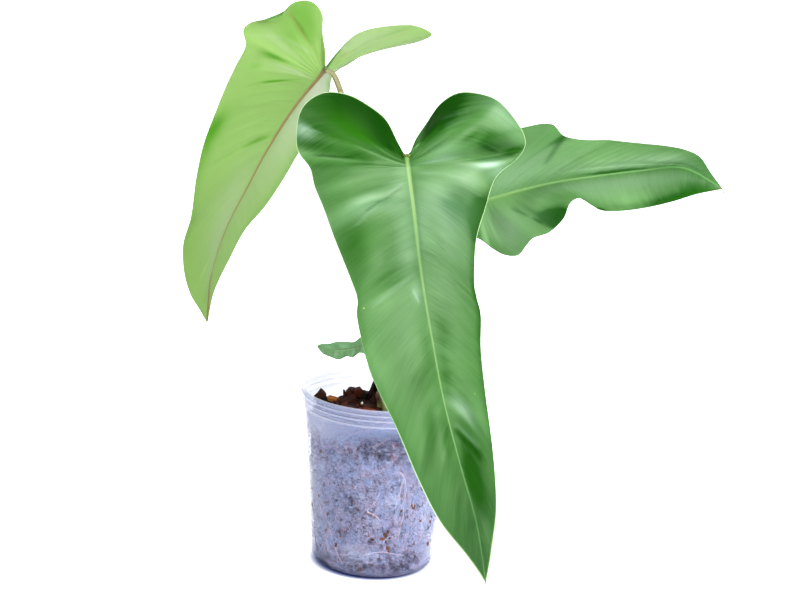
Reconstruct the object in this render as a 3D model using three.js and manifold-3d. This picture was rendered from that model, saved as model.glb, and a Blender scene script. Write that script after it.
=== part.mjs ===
// A potted philodendron paloraense hybrid: three long arrow-shaped leaves and one small juvenile leaf
// on a short stem, rooted in chunky bark mix in a frosted nursery cup. Millimetres, +Z up. The origin is
// the centre of the cup's flat bottom, and the largest leaf hangs towards -Y.

import * as THREE from 'three';
import { mergeVertices } from 'three/addons/utils/BufferGeometryUtils.js';
import Module from 'manifold-3d';

const wasm = await Module();
wasm.setup();

// Driving dimensions of the cup
const CUP_HEIGHT = 120;
const CUP_RIM_RADIUS = 52.3;
const CUP_BASE_RADIUS = 41.3;
const CUP_CORNER_RADIUS = 8.3;
const CUP_WALL = 1;
const CUP_FLOOR = 1.4;
const CUP_LIP = 1.6;
const CUP_LIP_THICKNESS = 2.2;
const CUP_LIP_ROUNDING = 0.5;
const CUP_RINGS = [108.6, 112.7, 116.2];
const CUP_RING_HEIGHT = 0.7;
const CUP_RING_WIDTH = 1.6;
const CUP_SIDES = 40;
const CUP_CORNER_STEPS = 4;
const DRAIN_HOLES = 6;
const DRAIN_RADIUS = 3.5;
const DRAIN_CIRCLE = 25;
const DRAIN_SIDES = 10;

// Driving dimensions of the potting mix and its bark chips
const MIX_WALL_LEVEL = 97;
const MIX_MOUND = 10;
const MIX_CHIPS = 36;
const MIX_SIDES = 40;
const MIX_SHOULDERS = [0.8, 0.55, 0.28];
const CHIP_LENGTH = [9, 19];
const CHIP_WIDTH = [6, 11];
const CHIP_THICKNESS = [3, 5];
const CHIP_RISE = [-1, 2.5];
const CHIP_TILT = 0.9;
const CHIP_CLEAR_OF_STEM = 11;
const CHIP_SPREAD = 36;
const GOLDEN_ANGLE = Math.PI * (3 - Math.sqrt(5));

// Driving dimensions of the stem, the petioles and the blades
const STEM_FOOT = [4, 2, 62];
const STEM_TOP = [5, 1, 152];
const STEM_RADIUS = 7.2;
const STEM_NODES = [0.58, 0.74, 0.9];
const STEM_NODE_RISE = 1.3;
const STEM_NODE_WIDTH = 0.03;
const STEM_TIP_SHARE = 0.08;
const STEM_TIP_NARROWING = 0.6;
const SHEATH_SHARE = 0.14;
const BLADE_THICKNESS = 0.9;
const MIDRIB_COLUMN = 0.06;
const SEAT_GAP = 0.3;

// Each blade is given by evenly spaced points along its midrib, from the sinus to the tip, and by its
// ribs: [distance of the rib's foot along the midrib, left edge point, right edge point]. The first rib
// lies in the sinus, the next ones go round the two lobes, and the last one closes the tip. Left and
// right are those of someone who looks at the upper side with the tip pointing down. bulge is the rise
// of a rib above its chord, as a share of its length. dents are single waves of the surface: [side,
// rib number, place across from 0 to 1, height, spread in ribs, spread across].
const FRONT_LEAF = {
  midribHeight: 1.7,
  bulge: 0.06,
  midrib: [
    [7, -85, 287.5], [13, -100, 257], [19, -114, 224], [27, -127, 190],
    [36, -137, 155], [47, -144, 121], [59, -149, 86], [67, -152, 50],
  ],
  ribs: [
    [0, [5.5, -85.5, 288], [8.5, -85, 288]],
    [0.7, [0, -80, 297.5], [12, -78, 298]],
    [1.4, [-7, -72, 308], [17.5, -70, 306]],
    [2.1, [-18.5, -65, 315], [25.5, -63, 317.5]],
    [2.8, [-31, -64, 320], [36, -58, 324]],
    [3.5, [-44.5, -68, 320.5], [49, -57, 324]],
    [4.2, [-54.5, -76, 314.5], [61, -60, 320]],
    [5, [-58, -89, 306], [73.5, -60, 307]],
    [6, [-57, -97, 291], [79, -57, 296]],
    [7, [-49, -104, 281], [74, -62, 287]],
    [9, [-45.5, -109, 271], [61, -72, 276]],
    [20, [-39.5, -115, 259.5], [55.5, -82, 259]],
    [34, [-32, -123, 243], [51, -92, 241]],
    [56, [-21.5, -132, 222], [51, -101, 219]],
    [66, [-17, -136, 212], [53, -103.5, 209]],
    [77, [-16, -140, 200], [56, -106, 199]],
    [101, [-7, -148, 172.5], [57, -114, 180]],
    [126, [10, -154, 141], [61, -121, 156]],
    [150, [24, -159, 113], [67, -131, 125]],
    [178, [38, -160, 88.5], [71, -140, 94]],
    [212, [54.5, -156, 67.5], [70, -147, 69]],
    [259, [66.6, -152, 50], [67.4, -152, 50]],
  ],
  dents: [
    [-1, 5.5, 0.5, 6, 3, 0.35], [-1, 8.3, 0.78, -2, 0.6, 0.3], [1, 3.4, 0.62, 4, 2.4, 0.22],
    [1, 6.4, 0.6, 1, 1.4, 0.35], [1, 8.2, 0.76, -4.5, 0.8, 0.24], [1, 10.2, 0.72, 1.2, 0.9, 0.28],
    [-1, 12.6, 0.7, 2.5, 1.2, 0.3],
  ],
};

const LEFT_LEAF = {
  midribHeight: 1.2,
  bulge: 0.04,
  midrib: [
    [-49, 55, 322], [-69, 70, 295], [-87, 82, 264], [-102, 93, 233],
    [-117, 103, 200], [-127, 110, 165], [-129, 112, 129],
  ],
  ribs: [
    [0, [-47.5, 56, 323], [-50, 55, 323.5]],
    [0.8, [-43, 60, 330], [-50, 55, 333]],
    [1.6, [-34, 66, 342], [-52.5, 55, 346]],
    [2.4, [-23, 72, 348], [-53, 52, 358]],
    [3.2, [-6, 80, 351], [-60, 47, 366]],
    [4, [9, 88, 351], [-71.5, 42, 366]],
    [5, [21, 97, 345], [-82, 38, 361.5]],
    [6, [11, 106, 338], [-94, 35, 355]],
    [8, [-4, 112, 335], [-102.5, 33, 347]],
    [9.5, [-21, 115, 329], [-101, 35, 336]],
    [11.5, [-35, 114, 320], [-107.5, 38, 322]],
    [16, [-46, 112, 312], [-114, 43, 307.5]],
    [29, [-49, 112, 297], [-121.5, 50, 288]],
    [46, [-57, 112, 276], [-129.5, 60, 265.5]],
    [64, [-68, 115, 256], [-135, 70, 240]],
    [82, [-78.5, 118, 235.5], [-139, 81, 212]],
    [102, [-91, 121, 214.5], [-145, 90, 190]],
    [124, [-105, 123, 196], [-145, 98, 169]],
    [149, [-115, 122, 175], [-141, 105, 151]],
    [179, [-125, 118, 151], [-134, 109, 138]],
    [222, [-128.6, 112, 129], [-129.4, 112, 129]],
  ],
  dents: [[-1, 8, 0.5, 5, 3, 0.4]],
};

const RIGHT_LEAF = {
  midribHeight: 1.4,
  bulge: 0.04,
  midrib: [
    [52, 20, 242], [78, 17, 252], [104, 12, 261], [131, 6, 268],
    [157, -1, 274], [183, -10, 279], [207, -20, 269],
  ],
  ribs: [
    [0, [51.5, 19, 240.5], [51.5, 20.5, 243.5]],
    [0.8, [47, 16, 238.5], [47, 22, 249.5]],
    [1.6, [43, 12, 234], [44, 25, 259.5]],
    [2.4, [45, 8, 228], [47, 26, 271]],
    [3.2, [51.5, 5, 224.5], [53.5, 26, 280]],
    [4, [58.5, 2, 223], [61.5, 26, 287]],
    [5, [66.5, 0, 218], [72.5, 26, 292]],
    [6.5, [74.5, -4, 215], [83, 26, 294.5]],
    [8.5, [83, -7, 216], [94, 25, 297.5]],
    [11, [88, -8, 223], [102, 23, 297.5]],
    [15, [92, -9, 228], [108.5, 21, 291.5]],
    [21, [102, -8, 232.5], [116, 18, 290]],
    [30, [109.5, -7, 242.5], [126, 16, 290]],
    [42, [114, -3, 251.5], [137, 14, 291]],
    [56, [121.5, -5, 255], [148, 10, 291]],
    [72, [132.5, -12, 249.5], [160, 6, 291]],
    [90, [145.5, -17, 250.5], [172, 2, 291]],
    [110, [161.5, -21, 254.5], [184, -3, 290]],
    [130, [176.5, -23, 259.5], [193.5, -8, 286.5]],
    [150, [191, -23, 265], [200, -14, 278]],
    [168, [207, -20, 268.6], [207, -20, 269.4]],
  ],
  dents: [
    [-1, 12.1, 0.85, -3, 0.8, 0.3], [-1, 10, 0.6, 2, 1.5, 0.35], [1, 16.2, 0.3, 1.6, 1.8, 0.14],
    [-1, 16, 0.4, 1.5, 2.5, 0.3],
  ],
};

const SMALL_LEAF = {
  midribHeight: 0.5,
  bulge: 0.04,
  midrib: [[-12, 0, 148], [-20, -1, 146], [-28, -3, 145], [-36, -3, 145], [-44, -3, 147]],
  ribs: [
    [0, [-11.5, -1.2, 147.5], [-11.5, 1, 149]],
    [1, [-10, -5, 146], [-10, 4, 151]],
    [2, [-12, -9, 145], [-11.5, 6, 153]],
    [4, [-16, -11, 146], [-16, 6, 152]],
    [7, [-20, -12, 143], [-20, 5, 149]],
    [11, [-24, -10.5, 143], [-25, 4, 149]],
    [16, [-29, -12, 141], [-31, 3, 149]],
    [21, [-34, -11, 142], [-36, 1, 148]],
    [27, [-40, -8, 143.5], [-41, -1, 148]],
    [33, [-44, -3.3, 146.8], [-44, -2.7, 147.2]],
  ],
  dents: [],
};

// Each petiole is given by points along its middle, from inside the stem or the mix to the sinus of its
// blade, and by its radius at the sheath, along the stalk and at the sinus.
const FRONT_PETIOLE = {
  path: [[5, -1, 128], [5, -7, 156], [6, -13, 200], [7, -31, 245], [7, -56, 271], [7, -83, 285]],
  radii: [4.4, 2.7, 1.9],
};
const LEFT_PETIOLE = {
  path: [
    [3, 3, 118], [-1, 9, 150], [-8, 17, 195], [-20, 29, 245], [-34, 43, 296],
    [-40, 50.5, 312], [-44.5, 54, 319.4], [-49, 55, 321],
  ],
  radii: [4.2, 2.5, 1.7],
};
const RIGHT_PETIOLE = {
  path: [[6, 2, 136], [9, 5, 160], [17, 14, 190], [30, 25, 220], [43, 27, 237], [52, 21, 241]],
  radii: [4, 2.3, 1.5],
};
const SMALL_PETIOLE = {
  path: [[4, -8, 92], [2.5, -8.5, 108], [-3, -7, 125], [-9.5, -1.5, 142], [-12, 0, 147]],
  radii: [3, 1.9, 1],
};

const MATERIALS = {
  cup: new THREE.MeshStandardMaterial({ color: '#c3cbea', roughness: 0.4, metalness: 0 }),
  mix: new THREE.MeshStandardMaterial({ color: '#3a2417', roughness: 0.95, metalness: 0 }),
  stem: new THREE.MeshStandardMaterial({ color: '#6f6a35', roughness: 0.6, metalness: 0 }),
  petiole: new THREE.MeshStandardMaterial({ color: '#a39a5c', roughness: 0.5, metalness: 0 }),
  blade: new THREE.MeshStandardMaterial({ color: '#4f9a3c', roughness: 0.4, metalness: 0 }),
  paleBlade: new THREE.MeshStandardMaterial({ color: '#9ccb6c', roughness: 0.5, metalness: 0 }),
  darkBlade: new THREE.MeshStandardMaterial({ color: '#3f7d45', roughness: 0.5, metalness: 0 }),
};

const vector = (point) => new THREE.Vector3(...point);
const curveThrough = (points) => new THREE.CatmullRomCurve3(points.map(vector));

// Seeded random numbers, so that the chips fall in the same places each time.
function seededRandom(seed) {
  let state = seed;
  return (low, high) => {
    state = (state * 1664525 + 1013904223) % 4294967296;
    return low + ((high - low) * state) / 4294967296;
  };
}

// Leaves only positions, merges equal vertices and drops the triangles that this flattens at a pole.
function closedGeometry(geometry) {
  geometry.deleteAttribute('normal');
  geometry.deleteAttribute('uv');
  const merged = mergeVertices(geometry, 1e-4);
  const corners = merged.index.array;
  const kept = [];
  for (let i = 0; i < corners.length; i += 3) {
    const [a, b, c] = [corners[i], corners[i + 1], corners[i + 2]];
    if (a !== b && b !== c && c !== a) kept.push(a, b, c);
  }
  merged.setIndex(kept);
  return merged;
}

function toSolid(geometry) {
  const closed = closedGeometry(geometry);
  return new wasm.Manifold(new wasm.Mesh({
    numProp: 3,
    vertProperties: new Float32Array(closed.attributes.position.array),
    triVerts: new Uint32Array(closed.index.array),
  }));
}

// The largest body of a solid, as a geometry: scraps that a cut leaves are dropped.
function toGeometry(solid) {
  const bodies = solid.decompose();
  bodies.sort((a, b) => b.volume() - a.volume());
  const mesh = bodies[0].getMesh();
  const geometry = new THREE.BufferGeometry();
  geometry.setAttribute('position', new THREE.BufferAttribute(mesh.vertProperties, 3));
  geometry.setIndex(new THREE.BufferAttribute(mesh.triVerts, 1));
  return geometry;
}

// A profile of [radius, height] pairs, turned about the Z axis.
function turned(profile, sides) {
  const points = profile.map(([radius, height]) => new THREE.Vector2(radius, height));
  return new THREE.LatheGeometry(points, sides).rotateX(Math.PI / 2);
}

// Catmull-Rom interpolation of evenly numbered rows of numbers, for t from 0 to 1.
function smoothRow(rows, t) {
  const spans = rows.length - 1;
  const place = THREE.MathUtils.clamp(t, 0, 1) * spans;
  const i = Math.min(Math.floor(place), spans - 1);
  const f = place - i;
  return rows[0].map((_, column) => {
    const value = (row) => rows[row][column];
    const b = value(i);
    const c = value(i + 1);
    const a = i > 0 ? value(i - 1) : 2 * b - c;
    const d = i + 2 <= spans ? value(i + 2) : 2 * c - b;
    return b + 0.5 * f * (c - a + f * (2 * a - 5 * b + 4 * c - d + f * (3 * (b - c) + d - a)));
  });
}

// The cup: a thin frosted shell that tapers to its base, with a rounded bottom corner, three raised
// rings under a rolled lip and drain holes round the middle of its floor.
const cupSlope = (CUP_RIM_RADIUS - CUP_BASE_RADIUS) / CUP_HEIGHT;
const cupRadius = (height) => CUP_BASE_RADIUS + cupSlope * height;

function cornerProfile(radius, corner, floor) {
  const points = [];
  for (let step = 0; step <= CUP_CORNER_STEPS; step += 1) {
    const share = step / CUP_CORNER_STEPS;
    const angle = share * (Math.PI / 2);
    const x = radius - corner + corner * Math.sin(angle);
    points.push([x + cupSlope * corner * share, floor + corner * (1 - Math.cos(angle))]);
  }
  return points;
}

function ringProfile(height) {
  const half = CUP_RING_WIDTH / 2;
  return [
    [cupRadius(height - half), height - half],
    [cupRadius(height) + CUP_RING_HEIGHT, height],
    [cupRadius(height + half), height + half],
  ];
}

function makeCup() {
  const lipRadius = CUP_RIM_RADIUS + CUP_LIP;
  const lipFoot = CUP_HEIGHT - CUP_LIP_THICKNESS;
  const outside = [
    [0, 0],
    ...cornerProfile(CUP_BASE_RADIUS, CUP_CORNER_RADIUS, 0),
    ...CUP_RINGS.flatMap(ringProfile),
    [cupRadius(lipFoot), lipFoot],
    [lipRadius, lipFoot + CUP_LIP_ROUNDING],
    [lipRadius, CUP_HEIGHT - CUP_LIP_ROUNDING],
    [lipRadius - CUP_LIP_ROUNDING, CUP_HEIGHT],
  ];
  const inside = [
    [0, CUP_FLOOR],
    ...cornerProfile(CUP_BASE_RADIUS - CUP_WALL, CUP_CORNER_RADIUS - CUP_WALL, CUP_FLOOR),
    [cupRadius(CUP_HEIGHT) - CUP_WALL, CUP_HEIGHT],
  ];
  const shell = toSolid(turned([...outside, ...inside.reverse()], CUP_SIDES));
  const holes = [];
  for (let hole = 0; hole < DRAIN_HOLES; hole += 1) {
    const angle = (hole / DRAIN_HOLES) * 2 * Math.PI;
    const drill = new THREE.CylinderGeometry(DRAIN_RADIUS, DRAIN_RADIUS, 3 * CUP_FLOOR, DRAIN_SIDES);
    drill.rotateX(Math.PI / 2);
    drill.translate(DRAIN_CIRCLE * Math.cos(angle), DRAIN_CIRCLE * Math.sin(angle), 0);
    holes.push(toSolid(drill));
  }
  return toGeometry(shell.subtract(wasm.Manifold.union(holes)));
}

// The potting mix: what fills the cup, with a mounded top and loose bark chips that stand out of it.
const mixFloor = CUP_FLOOR + SEAT_GAP;
const mixRadius = (height) => cupRadius(height) - CUP_WALL - SEAT_GAP;
const mixTop = (radius) => {
  const share = Math.min(radius / mixRadius(MIX_WALL_LEVEL), 1);
  return MIX_WALL_LEVEL + MIX_MOUND * (1 - share * share);
};

// The room inside the cup, up to the given height.
function cupRoom(height, topProfile) {
  const corner = CUP_CORNER_RADIUS - CUP_WALL;
  return turned([
    [0, mixFloor],
    ...cornerProfile(CUP_BASE_RADIUS - CUP_WALL - SEAT_GAP, corner, mixFloor),
    [mixRadius(height), height],
    ...topProfile,
    [0, mixTop(0) + (height - MIX_WALL_LEVEL)],
  ], MIX_SIDES);
}

function makeChips() {
  const random = seededRandom(11);
  const chips = [];
  for (let chip = 0; chip < MIX_CHIPS; chip += 1) {
    const angle = chip * GOLDEN_ANGLE;
    const reach = CHIP_CLEAR_OF_STEM + CHIP_SPREAD * Math.sqrt(chip / MIX_CHIPS);
    const height = mixTop(reach) + random(...CHIP_RISE);
    const shape = new THREE.BoxGeometry(
      random(...CHIP_LENGTH), random(...CHIP_WIDTH), random(...CHIP_THICKNESS),
    );
    shape.rotateX(random(-CHIP_TILT, CHIP_TILT));
    shape.rotateY(random(-CHIP_TILT, CHIP_TILT));
    shape.rotateZ(random(0, Math.PI));
    shape.translate(reach * Math.cos(angle), reach * Math.sin(angle), height);
    chips.push(toSolid(shape));
  }
  return wasm.Manifold.union(chips);
}

function makeMix(stems) {
  const shoulder = MIX_SHOULDERS.map((share) => {
    const radius = share * mixRadius(MIX_WALL_LEVEL);
    return [radius, mixTop(radius)];
  });
  const filling = toSolid(cupRoom(MIX_WALL_LEVEL, shoulder));
  const room = toSolid(cupRoom(CUP_HEIGHT, []));
  const surface = filling.add(makeChips()).intersect(room);
  return toGeometry(surface.subtract(stems));
}

// A tapered round stalk along a curve: a turned spindle whose rings are laid across the curve. profile
// gives the radius for t from 0 to 1, grow widens it and its ends on all sides.
function stalk(path, profile, { rings = 12, sides = 8, grow = 0 } = {}) {
  const curve = curveThrough(path);
  const spindle = [[0, 0]];
  for (let ring = 0; ring <= rings; ring += 1) spindle.push([1, ring]);
  spindle.push([0, rings]);
  const geometry = turned(spindle, sides);
  const position = geometry.attributes.position;
  const frames = [];
  let across = new THREE.Vector3(1, 0, 0);
  for (let ring = 0; ring <= rings; ring += 1) {
    const t = ring / rings;
    const tangent = curve.getTangentAt(t);
    const centre = curve.getPointAt(t);
    if (ring === 0) centre.addScaledVector(tangent, -grow);
    if (ring === rings) centre.addScaledVector(tangent, grow);
    across = across.clone().addScaledVector(tangent, -across.dot(tangent)).normalize();
    const beside = tangent.clone().cross(across);
    frames.push({ centre, across, beside, radius: profile(t) + grow });
  }
  for (let i = 0; i < position.count; i += 1) {
    const frame = frames[Math.round(position.getZ(i))];
    const place = frame.centre.clone()
      .addScaledVector(frame.across, position.getX(i) * frame.radius)
      .addScaledVector(frame.beside, position.getY(i) * frame.radius);
    position.setXYZ(i, place.x, place.y, place.z);
  }
  return geometry;
}

// The petiole's radius falls from its sheath to the stalk over the first fifth, and on to the sinus.
function petioleProfile([sheath, middle, end]) {
  return (t) => {
    const sheathShare = Math.exp(-((t / SHEATH_SHARE) ** 2));
    return THREE.MathUtils.lerp(middle, end, t) + (sheath - middle) * sheathShare;
  };
}

// The stem swells a little at each node, where a leaf stands or stood, and narrows at its tip.
function stemProfile(t) {
  const swell = (sum, node) => sum + Math.exp(-(((t - node) / STEM_NODE_WIDTH) ** 2));
  const swelling = STEM_NODES.reduce(swell, 0);
  const tipShare = Math.max(0, (t - 1 + STEM_TIP_SHARE) / STEM_TIP_SHARE);
  const narrowing = STEM_TIP_NARROWING * tipShare ** 2;
  return STEM_RADIUS * (1 - narrowing) + STEM_NODE_RISE * swelling;
}

// The mid-surface of a blade: for each row along the blade, points from the left edge over the midrib
// to the right edge. Each rib heads sideways from its foot, sweeps along the midrib's direction with
// the square of the way across, and rises by the bulge and the dents, which start beside the midrib.
const RIB_COLUMNS = [0, MIDRIB_COLUMN, 0.32, 0.66, 1];
const ROWS_PER_RIB = 2;
const RIB_SWEEP = 0.35;
const DENT_START = 0.3;
const DIRECTION_STEP = 0.002;
const MIDRIB_TIP_SHARE = 0.25;

function bladeSurface(leaf) {
  const length = leaf.ribs.at(-1)[0];
  const numbers = leaf.ribs.map((rib) => rib.flat());
  const rows = (leaf.ribs.length - 1) * ROWS_PER_RIB;
  const surface = [];
  for (let row = 0; row <= rows; row += 1) {
    const [footPlace, ...edges] = smoothRow(numbers, row / rows);
    const share = footPlace / length;
    const foot = vector(smoothRow(leaf.midrib, share));
    const ahead = vector(smoothRow(leaf.midrib, share + DIRECTION_STEP));
    const behind = vector(smoothRow(leaf.midrib, share - DIRECTION_STEP));
    const along = ahead.sub(behind).normalize();
    const half = (side, edge) => {
      const span = vector(edge).sub(foot);
      const forward = span.dot(along);
      const lateral = span.addScaledVector(along, -forward);
      const width = lateral.length();
      const upper = along.clone().cross(lateral).multiplyScalar(side / width);
      return RIB_COLUMNS.map((v) => {
        const ribNumber = row / ROWS_PER_RIB;
        const dents = leaf.dents.filter((dent) => dent[0] === side).reduce((sum, dent) => {
          const [, rib, place, height, ribSpread, spread] = dent;
          const away = ((ribNumber - rib) / ribSpread) ** 2 + ((v - place) / spread) ** 2;
          return sum + height * Math.exp(-away) * Math.min(v / DENT_START, 1);
        }, 0);
        const rise = leaf.bulge * width * 4 * v * (1 - v) + dents;
        return foot.clone()
          .addScaledVector(lateral, v)
          .addScaledVector(along, forward * (RIB_SWEEP * v + (1 - RIB_SWEEP) * v * v))
          .addScaledVector(upper, rise);
      });
    };
    const left = half(-1, edges.slice(0, 3)).reverse();
    const right = half(1, edges.slice(3, 6));
    surface.push([...left.slice(0, -1), ...right]);
  }
  return surface;
}

// A blade as a closed thin solid: its upper and lower faces are split into the same triangles, and a
// narrow band closes the edge. The midrib stands out of the lower face.
function makeBlade(leaf, grow = 0) {
  const surface = bladeSurface(leaf);
  const rows = surface.length;
  const columns = surface[0].length;
  const middle = (columns - 1) / 2;
  const at = (row, column) => surface[
    THREE.MathUtils.clamp(row, 0, rows - 1)][THREE.MathUtils.clamp(column, 0, columns - 1)];
  const upperPoints = [];
  const lowerPoints = [];
  for (let row = 0; row < rows; row += 1) {
    const taper = 1 - row / (rows - 1);
    for (let column = 0; column < columns; column += 1) {
      const along = at(row + 1, column).clone().sub(at(row - 1, column));
      const across = at(row, column + 1).clone().sub(at(row, column - 1));
      const normal = along.cross(across).normalize();
      const height = leaf.midribHeight * THREE.MathUtils.lerp(MIDRIB_TIP_SHARE, 1, taper);
      const rib = column === middle ? height : 0;
      const point = at(row, column);
      upperPoints.push(point.clone().addScaledVector(normal, BLADE_THICKNESS / 2 + grow));
      lowerPoints.push(point.clone().addScaledVector(normal, -BLADE_THICKNESS / 2 - rib - grow));
    }
  }
  const count = rows * columns;
  const upper = (row, column) => row * columns + column;
  const lower = (row, column) => count + upper(row, column);
  const index = [];
  for (let row = 0; row < rows - 1; row += 1) {
    for (let column = 0; column < columns - 1; column += 1) {
      const corners = [[row, column], [row, column + 1], [row + 1, column + 1], [row + 1, column]];
      const [a, b, c, d] = corners.map((corner) => upper(...corner));
      const [e, f, g, h] = corners.map((corner) => lower(...corner));
      if (column < middle) index.push(a, c, b, a, d, c, e, f, g, e, g, h);
      else index.push(a, d, b, b, d, c, e, f, h, f, g, h);
    }
  }
  const border = [];
  for (let column = 0; column < columns - 1; column += 1) border.push([0, column]);
  for (let row = 0; row < rows - 1; row += 1) border.push([row, columns - 1]);
  for (let column = columns - 1; column > 0; column -= 1) border.push([rows - 1, column]);
  for (let row = rows - 1; row > 0; row -= 1) border.push([row, 0]);
  border.forEach((here, i) => {
    const next = border[(i + 1) % border.length];
    index.push(upper(...here), upper(...next), lower(...next));
    index.push(upper(...here), lower(...next), lower(...here));
  });
  const geometry = new THREE.BufferGeometry();
  const flat = [...upperPoints, ...lowerPoints].flatMap((point) => point.toArray());
  geometry.setAttribute('position', new THREE.Float32BufferAttribute(flat, 3));
  geometry.setIndex(index);
  return geometry;
}

// A petiole that is cut back to its seat on the stem and under its blade.
function makePetiole(petiole, leaf, stemRoom) {
  const shape = toSolid(stalk(petiole.path, petioleProfile(petiole.radii)));
  const bladeRoom = toSolid(makeBlade(leaf, SEAT_GAP));
  return toGeometry(shape.subtract(stemRoom).subtract(bladeRoom));
}

const part = new THREE.Group();

function addPiece(name, geometry, material) {
  const mesh = new THREE.Mesh(geometry, material);
  mesh.name = name;
  part.add(mesh);
}

const stemPath = [STEM_FOOT, STEM_TOP];
const stemShape = { rings: 26, sides: 10 };
const stemRoom = toSolid(stalk(stemPath, stemProfile, { ...stemShape, grow: SEAT_GAP }));
const petioleRooms = [FRONT_PETIOLE, LEFT_PETIOLE, RIGHT_PETIOLE, SMALL_PETIOLE].map(
  (petiole) => toSolid(stalk(petiole.path, petioleProfile(petiole.radii), { grow: SEAT_GAP })),
);
const stemRooms = wasm.Manifold.union([stemRoom, ...petioleRooms]);

addPiece('cup', makeCup(), MATERIALS.cup);
addPiece('potting_mix', makeMix(stemRooms), MATERIALS.mix);
addPiece('stem', closedGeometry(stalk(stemPath, stemProfile, stemShape)), MATERIALS.stem);
addPiece('petiole_front', makePetiole(FRONT_PETIOLE, FRONT_LEAF, stemRoom), MATERIALS.petiole);
addPiece('petiole_left', makePetiole(LEFT_PETIOLE, LEFT_LEAF, stemRoom), MATERIALS.petiole);
addPiece('petiole_right', makePetiole(RIGHT_PETIOLE, RIGHT_LEAF, stemRoom), MATERIALS.petiole);
addPiece('petiole_small', makePetiole(SMALL_PETIOLE, SMALL_LEAF, stemRoom), MATERIALS.petiole);
addPiece('blade_front', makeBlade(FRONT_LEAF), MATERIALS.blade);
addPiece('blade_left', makeBlade(LEFT_LEAF), MATERIALS.paleBlade);
addPiece('blade_right', makeBlade(RIGHT_LEAF), MATERIALS.blade);
addPiece('blade_small', makeBlade(SMALL_LEAF), MATERIALS.darkBlade);

export default part;
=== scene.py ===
# A potted philodendron paloraense hybrid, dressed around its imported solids. Metres, +Z up, with the origin
# at the centre of the cup's flat bottom. The plant's and the cup's sizes are written in millimetres, and MM
# brings them to metres. The studio's sizes and the scales of patterns are for metres.

import bmesh
import bpy
import numpy as np
from mathutils import Matrix, Vector


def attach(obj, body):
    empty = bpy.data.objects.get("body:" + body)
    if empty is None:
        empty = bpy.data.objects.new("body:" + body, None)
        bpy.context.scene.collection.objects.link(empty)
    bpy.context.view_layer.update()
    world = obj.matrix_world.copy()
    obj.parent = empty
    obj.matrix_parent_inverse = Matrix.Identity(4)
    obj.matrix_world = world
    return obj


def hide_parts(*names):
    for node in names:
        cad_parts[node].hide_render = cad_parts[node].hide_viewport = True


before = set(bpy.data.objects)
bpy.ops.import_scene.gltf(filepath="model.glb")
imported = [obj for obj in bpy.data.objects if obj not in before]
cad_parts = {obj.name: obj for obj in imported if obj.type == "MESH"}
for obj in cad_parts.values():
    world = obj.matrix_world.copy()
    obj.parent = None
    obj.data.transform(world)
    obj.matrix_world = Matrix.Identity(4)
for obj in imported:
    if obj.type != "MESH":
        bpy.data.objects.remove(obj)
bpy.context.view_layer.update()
MM = 0.001


# The studio. A wide white floor that glows like a light table, with a soft shade close under the cup, a
# surround that is brighter at the horizon than overhead, and large soft lights. The camera stands about a
# metre in front and looks slightly down. Nothing here belongs to the plant.

class Wire:
    """A socket of a material. Arithmetic on wires adds the Math nodes that work it out."""

    def __init__(self, finish, socket):
        self.finish = finish
        self.socket = socket

    def math(self, operation, *values):
        settings = {"operation": operation}
        return self.finish.add("ShaderNodeMath", settings, dict(enumerate(values)))

    def __add__(self, other):
        return self.math("ADD", self, other)

    def __radd__(self, other):
        return self.math("ADD", other, self)

    def __sub__(self, other):
        return self.math("SUBTRACT", self, other)

    def __rsub__(self, other):
        return self.math("SUBTRACT", other, self)

    def __mul__(self, other):
        return self.math("MULTIPLY", self, other)

    def __rmul__(self, other):
        return self.math("MULTIPLY", other, self)

    def __truediv__(self, other):
        return self.math("DIVIDE", self, other)

    def __rtruediv__(self, other):
        return self.math("DIVIDE", other, self)

    def __abs__(self):
        return self.math("ABSOLUTE", self)

    def within(self, low, high):
        """The wire held between low and high."""
        return self.math("MINIMUM", self.math("MAXIMUM", self, low), high)

    def ramp(self, start, end):
        """0 up to start, 1 from end on and a smooth rise between them. start may be the larger one."""
        settings = {"interpolation_type": "SMOOTHSTEP"}
        if start < end:
            return self.finish.add("ShaderNodeMapRange", settings, {0: self, 1: start, 2: end})
        return 1 - self.finish.add("ShaderNodeMapRange", settings, {0: self, 1: end, 2: start})


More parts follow.
